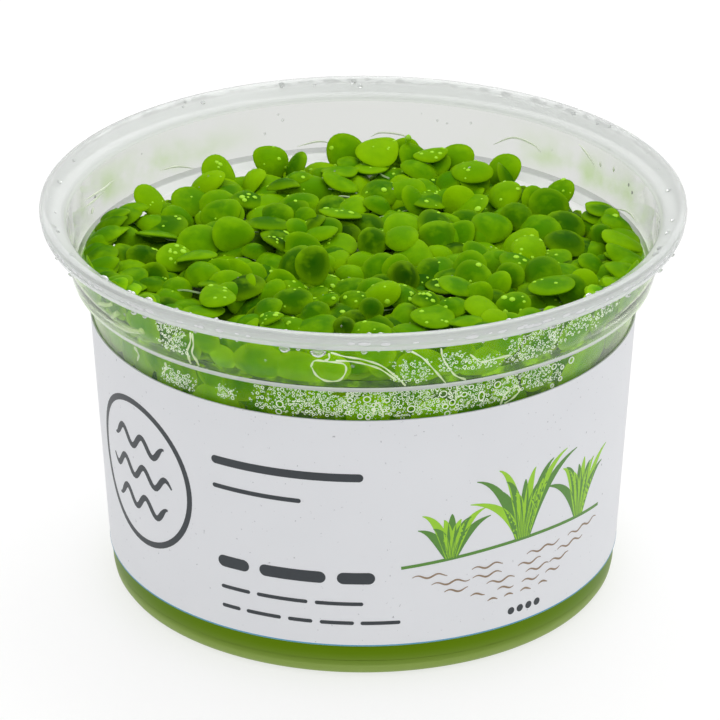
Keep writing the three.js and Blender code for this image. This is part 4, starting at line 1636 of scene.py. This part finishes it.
# Large bubbles: pixel across and down, radius, height over width
BUBBLES = [
    (280, 403.5, 0.42, 1.0), (279, 411, 0.36, 0.9), (367, 399, 0.42, 0.95), (387, 400, 0.3, 0.9),
    (350, 400, 0.28, 1.0), (360, 416, 0.28, 1.0), (368, 417, 0.26, 1.1), (411, 408.5, 0.44, 0.95),
    (443, 393.5, 0.46, 0.9), (464, 394, 0.34, 0.9), (452, 402, 0.36, 1.0), (445, 406, 0.34, 0.9),
    (447, 413, 0.34, 0.9), (471, 386.5, 0.28, 1.0), (497, 384, 0.42, 0.95), (481, 395.5, 0.38, 1.6),
    (570, 359.5, 0.42, 0.95), (553, 366, 0.38, 0.9), (561, 366.5, 0.26, 1.0), (559, 378, 0.3, 0.9),
    (551, 385, 0.24, 1.0),
]
# Foam: azimuths left and right, heights low and high, tries
FOAM_PATCHES = [
    (-41.6, -36.0, 42.4, 46.7, 170), (-45.6, -38.0, 36.2, 38.2, 170), (-31.0, -27.5, 36.7, 38.2, 60),
    (-23.0, -14.0, 36.2, 39.4, 170), (-14.0, -3.0, 36.2, 39.9, 330), (-3.0, 19.0, 36.2, 40.1, 900),
    (19.0, 31.0, 36.3, 40.0, 380), (31.0, 44.0, 36.8, 39.8, 250), (6.2, 12.6, 41.8, 45.0, 100),
    (14.6, 19.6, 43.0, 45.6, 70), (19.6, 26.0, 42.6, 44.2, 60), (29.0, 39.0, 42.4, 46.0, 230),
    (38.0, 50.0, 43.4, 46.2, 110), (50.0, 56.0, 44.4, 46.4, 40),
    (-120.0, -92.0, 36.5, 39.8, 200), (80.0, 150.0, 36.5, 39.8, 300),
]


ROOT_RADIUS, ROOT_DEPTH = 0.14, 0.17
STRAND_GAP = 0.12
STREAK_RADII, STREAK_DEPTH = (0.03, 0.15), 0.2
# The bud's section: degrees from its middle, share of its radius
BUD = [(-1.0, 0.1), (-0.6, 0.85), (0, 1.0), (0.6, 0.85), (1.0, 0.1)]
STALK_RADIUS, STALK_TIP = 0.2, [0.26, 0.42, 0.46, 0.34, 0.08]


def wall_path(pixels, depth, far_side=False):
    """A rounded line through pixels of the photograph, a depth in from the wall's inner face"""
    azimuth, height = smooth_path(np.stack(seen_on_wall(pixels, far_side), axis=1)).T
    return on_inner_wall(azimuth, height, depth)


def make_wall_roots():
    """White roots on the wall, thicker strands with a bud, streaks at the back and a stalk in the pond"""
    roots = []
    for pixels in WALL_ROOTS:
        path = wall_path(pixels, ROOT_DEPTH)
        roots.append(tube(path, ROOT_RADIUS * (0.75 + 0.25 * np.sin(np.arange(len(path)) * 0.9))))
    make_piece("roots_on_wall", *merged(roots), [ROOT])
    strands = [tube(wall_path(pixels, radius + STRAND_GAP), radius, 8) for radius, pixels in THICK_STRANDS]
    azimuth, height = seen_on_wall([KNOB])
    aside, share = np.array(BUD).T
    bud = on_inner_wall(azimuth + aside, height, KNOB_RADIUS + 0.1)
    strands.append(tube(bud, KNOB_RADIUS * share, 10))
    make_piece("strands_on_wall", *merged(strands), [STRAND])
    streaks = []
    for pixels in BACK_STREAKS:
        path = wall_path(pixels, STREAK_DEPTH, far_side=True)
        streaks.append(tube(path, between(STREAK_RADII, np.sin(np.linspace(0, math.pi, len(path))))))
    make_piece("streaks_on_back_wall", *merged(streaks), [STREAK])
    path = smooth_path(STALK, 3)
    radii = np.append(np.full(len(path) - len(STALK_TIP), STALK_RADIUS), STALK_TIP)
    make_piece("stalk_at_back", *tube(path, radii, 8), [STALK_GREEN])


FOAM_SPACING = 1.22
FOAM_CLEARANCE = 0.12
FOAM_DOTS = 2000
# About how many millimetres a degree of azimuth takes where the foam lies
FOAM_DEGREE = math.radians(1) * FOOT_RADIUS * 1.1


def foam_patch(large, left, right, low, high, tries):
    """Places and radii of small bubbles, the largest first and none over another or a large one"""
    draw = shape_random.uniform
    radii = np.sort(0.06 + 0.2 * shape_random.beta(1.0, 3.2, tries))[::-1]
    azimuth = left + (right - left) * (draw(0, 1, tries) + draw(-0.14, 0.14, tries))
    height = low + (high - low) * draw(0, 1, tries)
    kept = []
    for index in range(tries):
        apart = np.hypot((azimuth[kept] - azimuth[index]) * FOAM_DEGREE, height[kept] - height[index])
        from_large = np.hypot((large[:, 0] - azimuth[index]) * FOAM_DEGREE, large[:, 1] - height[index])
        clear_of_large = np.all(from_large > large[:, 2] + radii[index] + FOAM_CLEARANCE)
        if clear_of_large and np.all(apart > (radii[kept] + radii[index]) * FOAM_SPACING):
            kept.append(index)
    return np.stack([azimuth[kept], height[kept], radii[kept]], axis=1)


def make_foam():
    """Large bubbles where the photograph shows them, patches of small ones, and specks among these"""
    draw = shape_random.uniform
    across, down, radius, oval = np.array(BUBBLES).T
    azimuth, height = seen_on_wall(np.stack([across, down], axis=1))
    large = np.stack([azimuth, height, radius], axis=1)
    make_rings("bubbles_large", FOAM, azimuth, height, radius, np.full(len(radius), 0.08), oval)
    azimuth, height, radius = np.concatenate([foam_patch(large, *patch) for patch in FOAM_PATCHES]).T
    count = len(radius)
    thickness, oval = np.clip(radius * 0.3, 0.03, 0.055), draw(0.8, 1.15, count)
    make_rings("bubbles_small", FOAM, azimuth, height, radius, thickness, oval, steps=8, sides=4)
    picked = shape_random.integers(0, count, FOAM_DOTS)
    azimuth = azimuth[picked] + draw(-0.9, 0.9, FOAM_DOTS)
    height = height[picked] + draw(-0.4, 0.4, FOAM_DOTS)
    places, outward = on_inner_wall(azimuth, height, 0.06), round_tub(azimuth, 1, 0.0)
    make_drops("bubble_dots", FOAM, places, outward, draw(0.04, 0.085, FOAM_DOTS), 0.6)


POND_ROOTS, POND_ROOT_REACH, POND_ROOT_LIMIT = 70, 31, 32.3


def make_pond_roots():
    """Thin pale roots and stems that cross the gaps between the fronds"""
    roots = []
    for _ in range(POND_ROOTS):
        x, y = random_spot(POND_ROOT_REACH)
        heading = shape_random.uniform(0, 2 * math.pi)
        corners = [np.array([x, y, shape_random.uniform(40.9, 41.9)])]
        for _ in range(3):
            heading += shape_random.normal(0, 0.45)
            step = shape_random.uniform(1.0, 2.0)
            rise = shape_random.normal(0, 0.15)
            corners.append(corners[-1] + [step * math.cos(heading), step * math.sin(heading), rise])
        if max(math.hypot(x, y) for x, y, _ in corners) <= POND_ROOT_LIMIT:
            roots.append(tube(smooth_path(corners, 4), shape_random.uniform(0.06, 0.16), 5))
    make_piece("roots_between", *merged(roots), [STEM])


# Packed mass: how far it lies inside its solid, and how fine its mesh is
MASS_GAP, MASS_SINK = 0.45, 0.3
MASS_RINGS, MASS_SEGMENTS = 44, 160
MASS_SHOULDER = SURFACE_HEIGHT - 0.9
# The fringe is all that lies deeper than FRINGE_DEPTH, and an edge FRINGE_WIDTH wide round the top
FRINGE_DEPTH, FRINGE_WIDTH = 1.6, 1.4


def make_packed_mass():
    """Dark wet mass under the fronds, a little inside its solid, its fringe painted lighter at the wall and
    its strip at the back a painted reflection
    """
    foot = FLOOR_THICKNESS + CONTENTS_GAP
    reach = POND_RADIUS - MASS_GAP
    edge = wall_radius(foot) - WALL_THICKNESS - CONTENTS_GAP - MASS_GAP
    side = rounded([(0, foot, 0), (edge, foot, 1.5), (reach, MASS_SHOULDER, 0.6)])
    radii = [reach * (1 - ring / MASS_RINGS) for ring in range(MASS_RINGS + 1)]
    top = [(radius, surface_height(radius) - MASS_SINK) for radius in radii]
    points, faces = turned([*side, *top], MASS_SEGMENTS)
    high = points[:, 2] > SURFACE_HEIGHT - 0.5
    x, y = points[:, 0], points[:, 1]
    points[:, 2] -= np.where(high, LUMP_DEPTH * hollow(x, y), 0)
    x, y, z = points[[face[0] for face in faces]].T
    distance = np.hypot(x, y)
    at_wall = (z < SURFACE_HEIGHT - FRINGE_DEPTH) | (distance > POND_RADIUS - FRINGE_WIDTH)
    on_top = z > SURFACE_HEIGHT - FRINGE_DEPTH
    # The strip at the back is flat pale grey: painted reflection of the bright wall in the water
    at_back = on_top & (distance > BACK_REACH + 0.4) & (y > BACK_STRIP * distance)
    make_piece("packed_duckweed", points, faces, [MASS, FRINGE_PAINTED_LIGHT, PAINTED_REFLECTION_POOL], slot="wet_greenery",
               replaces=["submerged_duckweed"], face_material=np.where(at_back, 2, np.where(at_wall, 1, 0)))


def make_wet_ring():
    """Film of water and bits on the ledge, at the front and both sides, in greens painted lighter against the
    shade behind the wall
    """
    low = LEDGE_TOP + 0.55
    profile = [
        (32.2, low - 0.9), (33.1, low - 0.6), (33.4, low - 0.36), (34.8, low - 0.08), (34.9, low + 0.3),
        (34.9, low + 0.7), (34.4, low + 0.5), (33.2, low + 0.35), (32.2, low + 0.1),
    ]
    segments = 140
    turns = np.linspace(-WET_RING_END, WET_RING_END, segments)
    points = np.concatenate([round_tub(turns, radius, height) for radius, height in profile])
    rows = list(range(0, len(points), segments))
    faces = [tuple(rows), tuple(row + segments - 1 for row in reversed(rows))]
    faces += round_section(rows, segments, closed=False)
    make_piece("wet_ring", points, faces, [FRINGE_PAINTED_LIGHT], slot="wet_greenery")


make_camera()
make_sky()
make_light("overhead softbox", (60, 260, 520), 420, 0.9)
make_floor()
bpy.context.scene.view_settings.view_transform = "Standard"
make_tub()
make_label()
make_prints()
make_packed_mass()
make_wet_ring()
make_plants()
make_pond_roots()
make_wall_roots()
make_foam()
make_tub_drops()
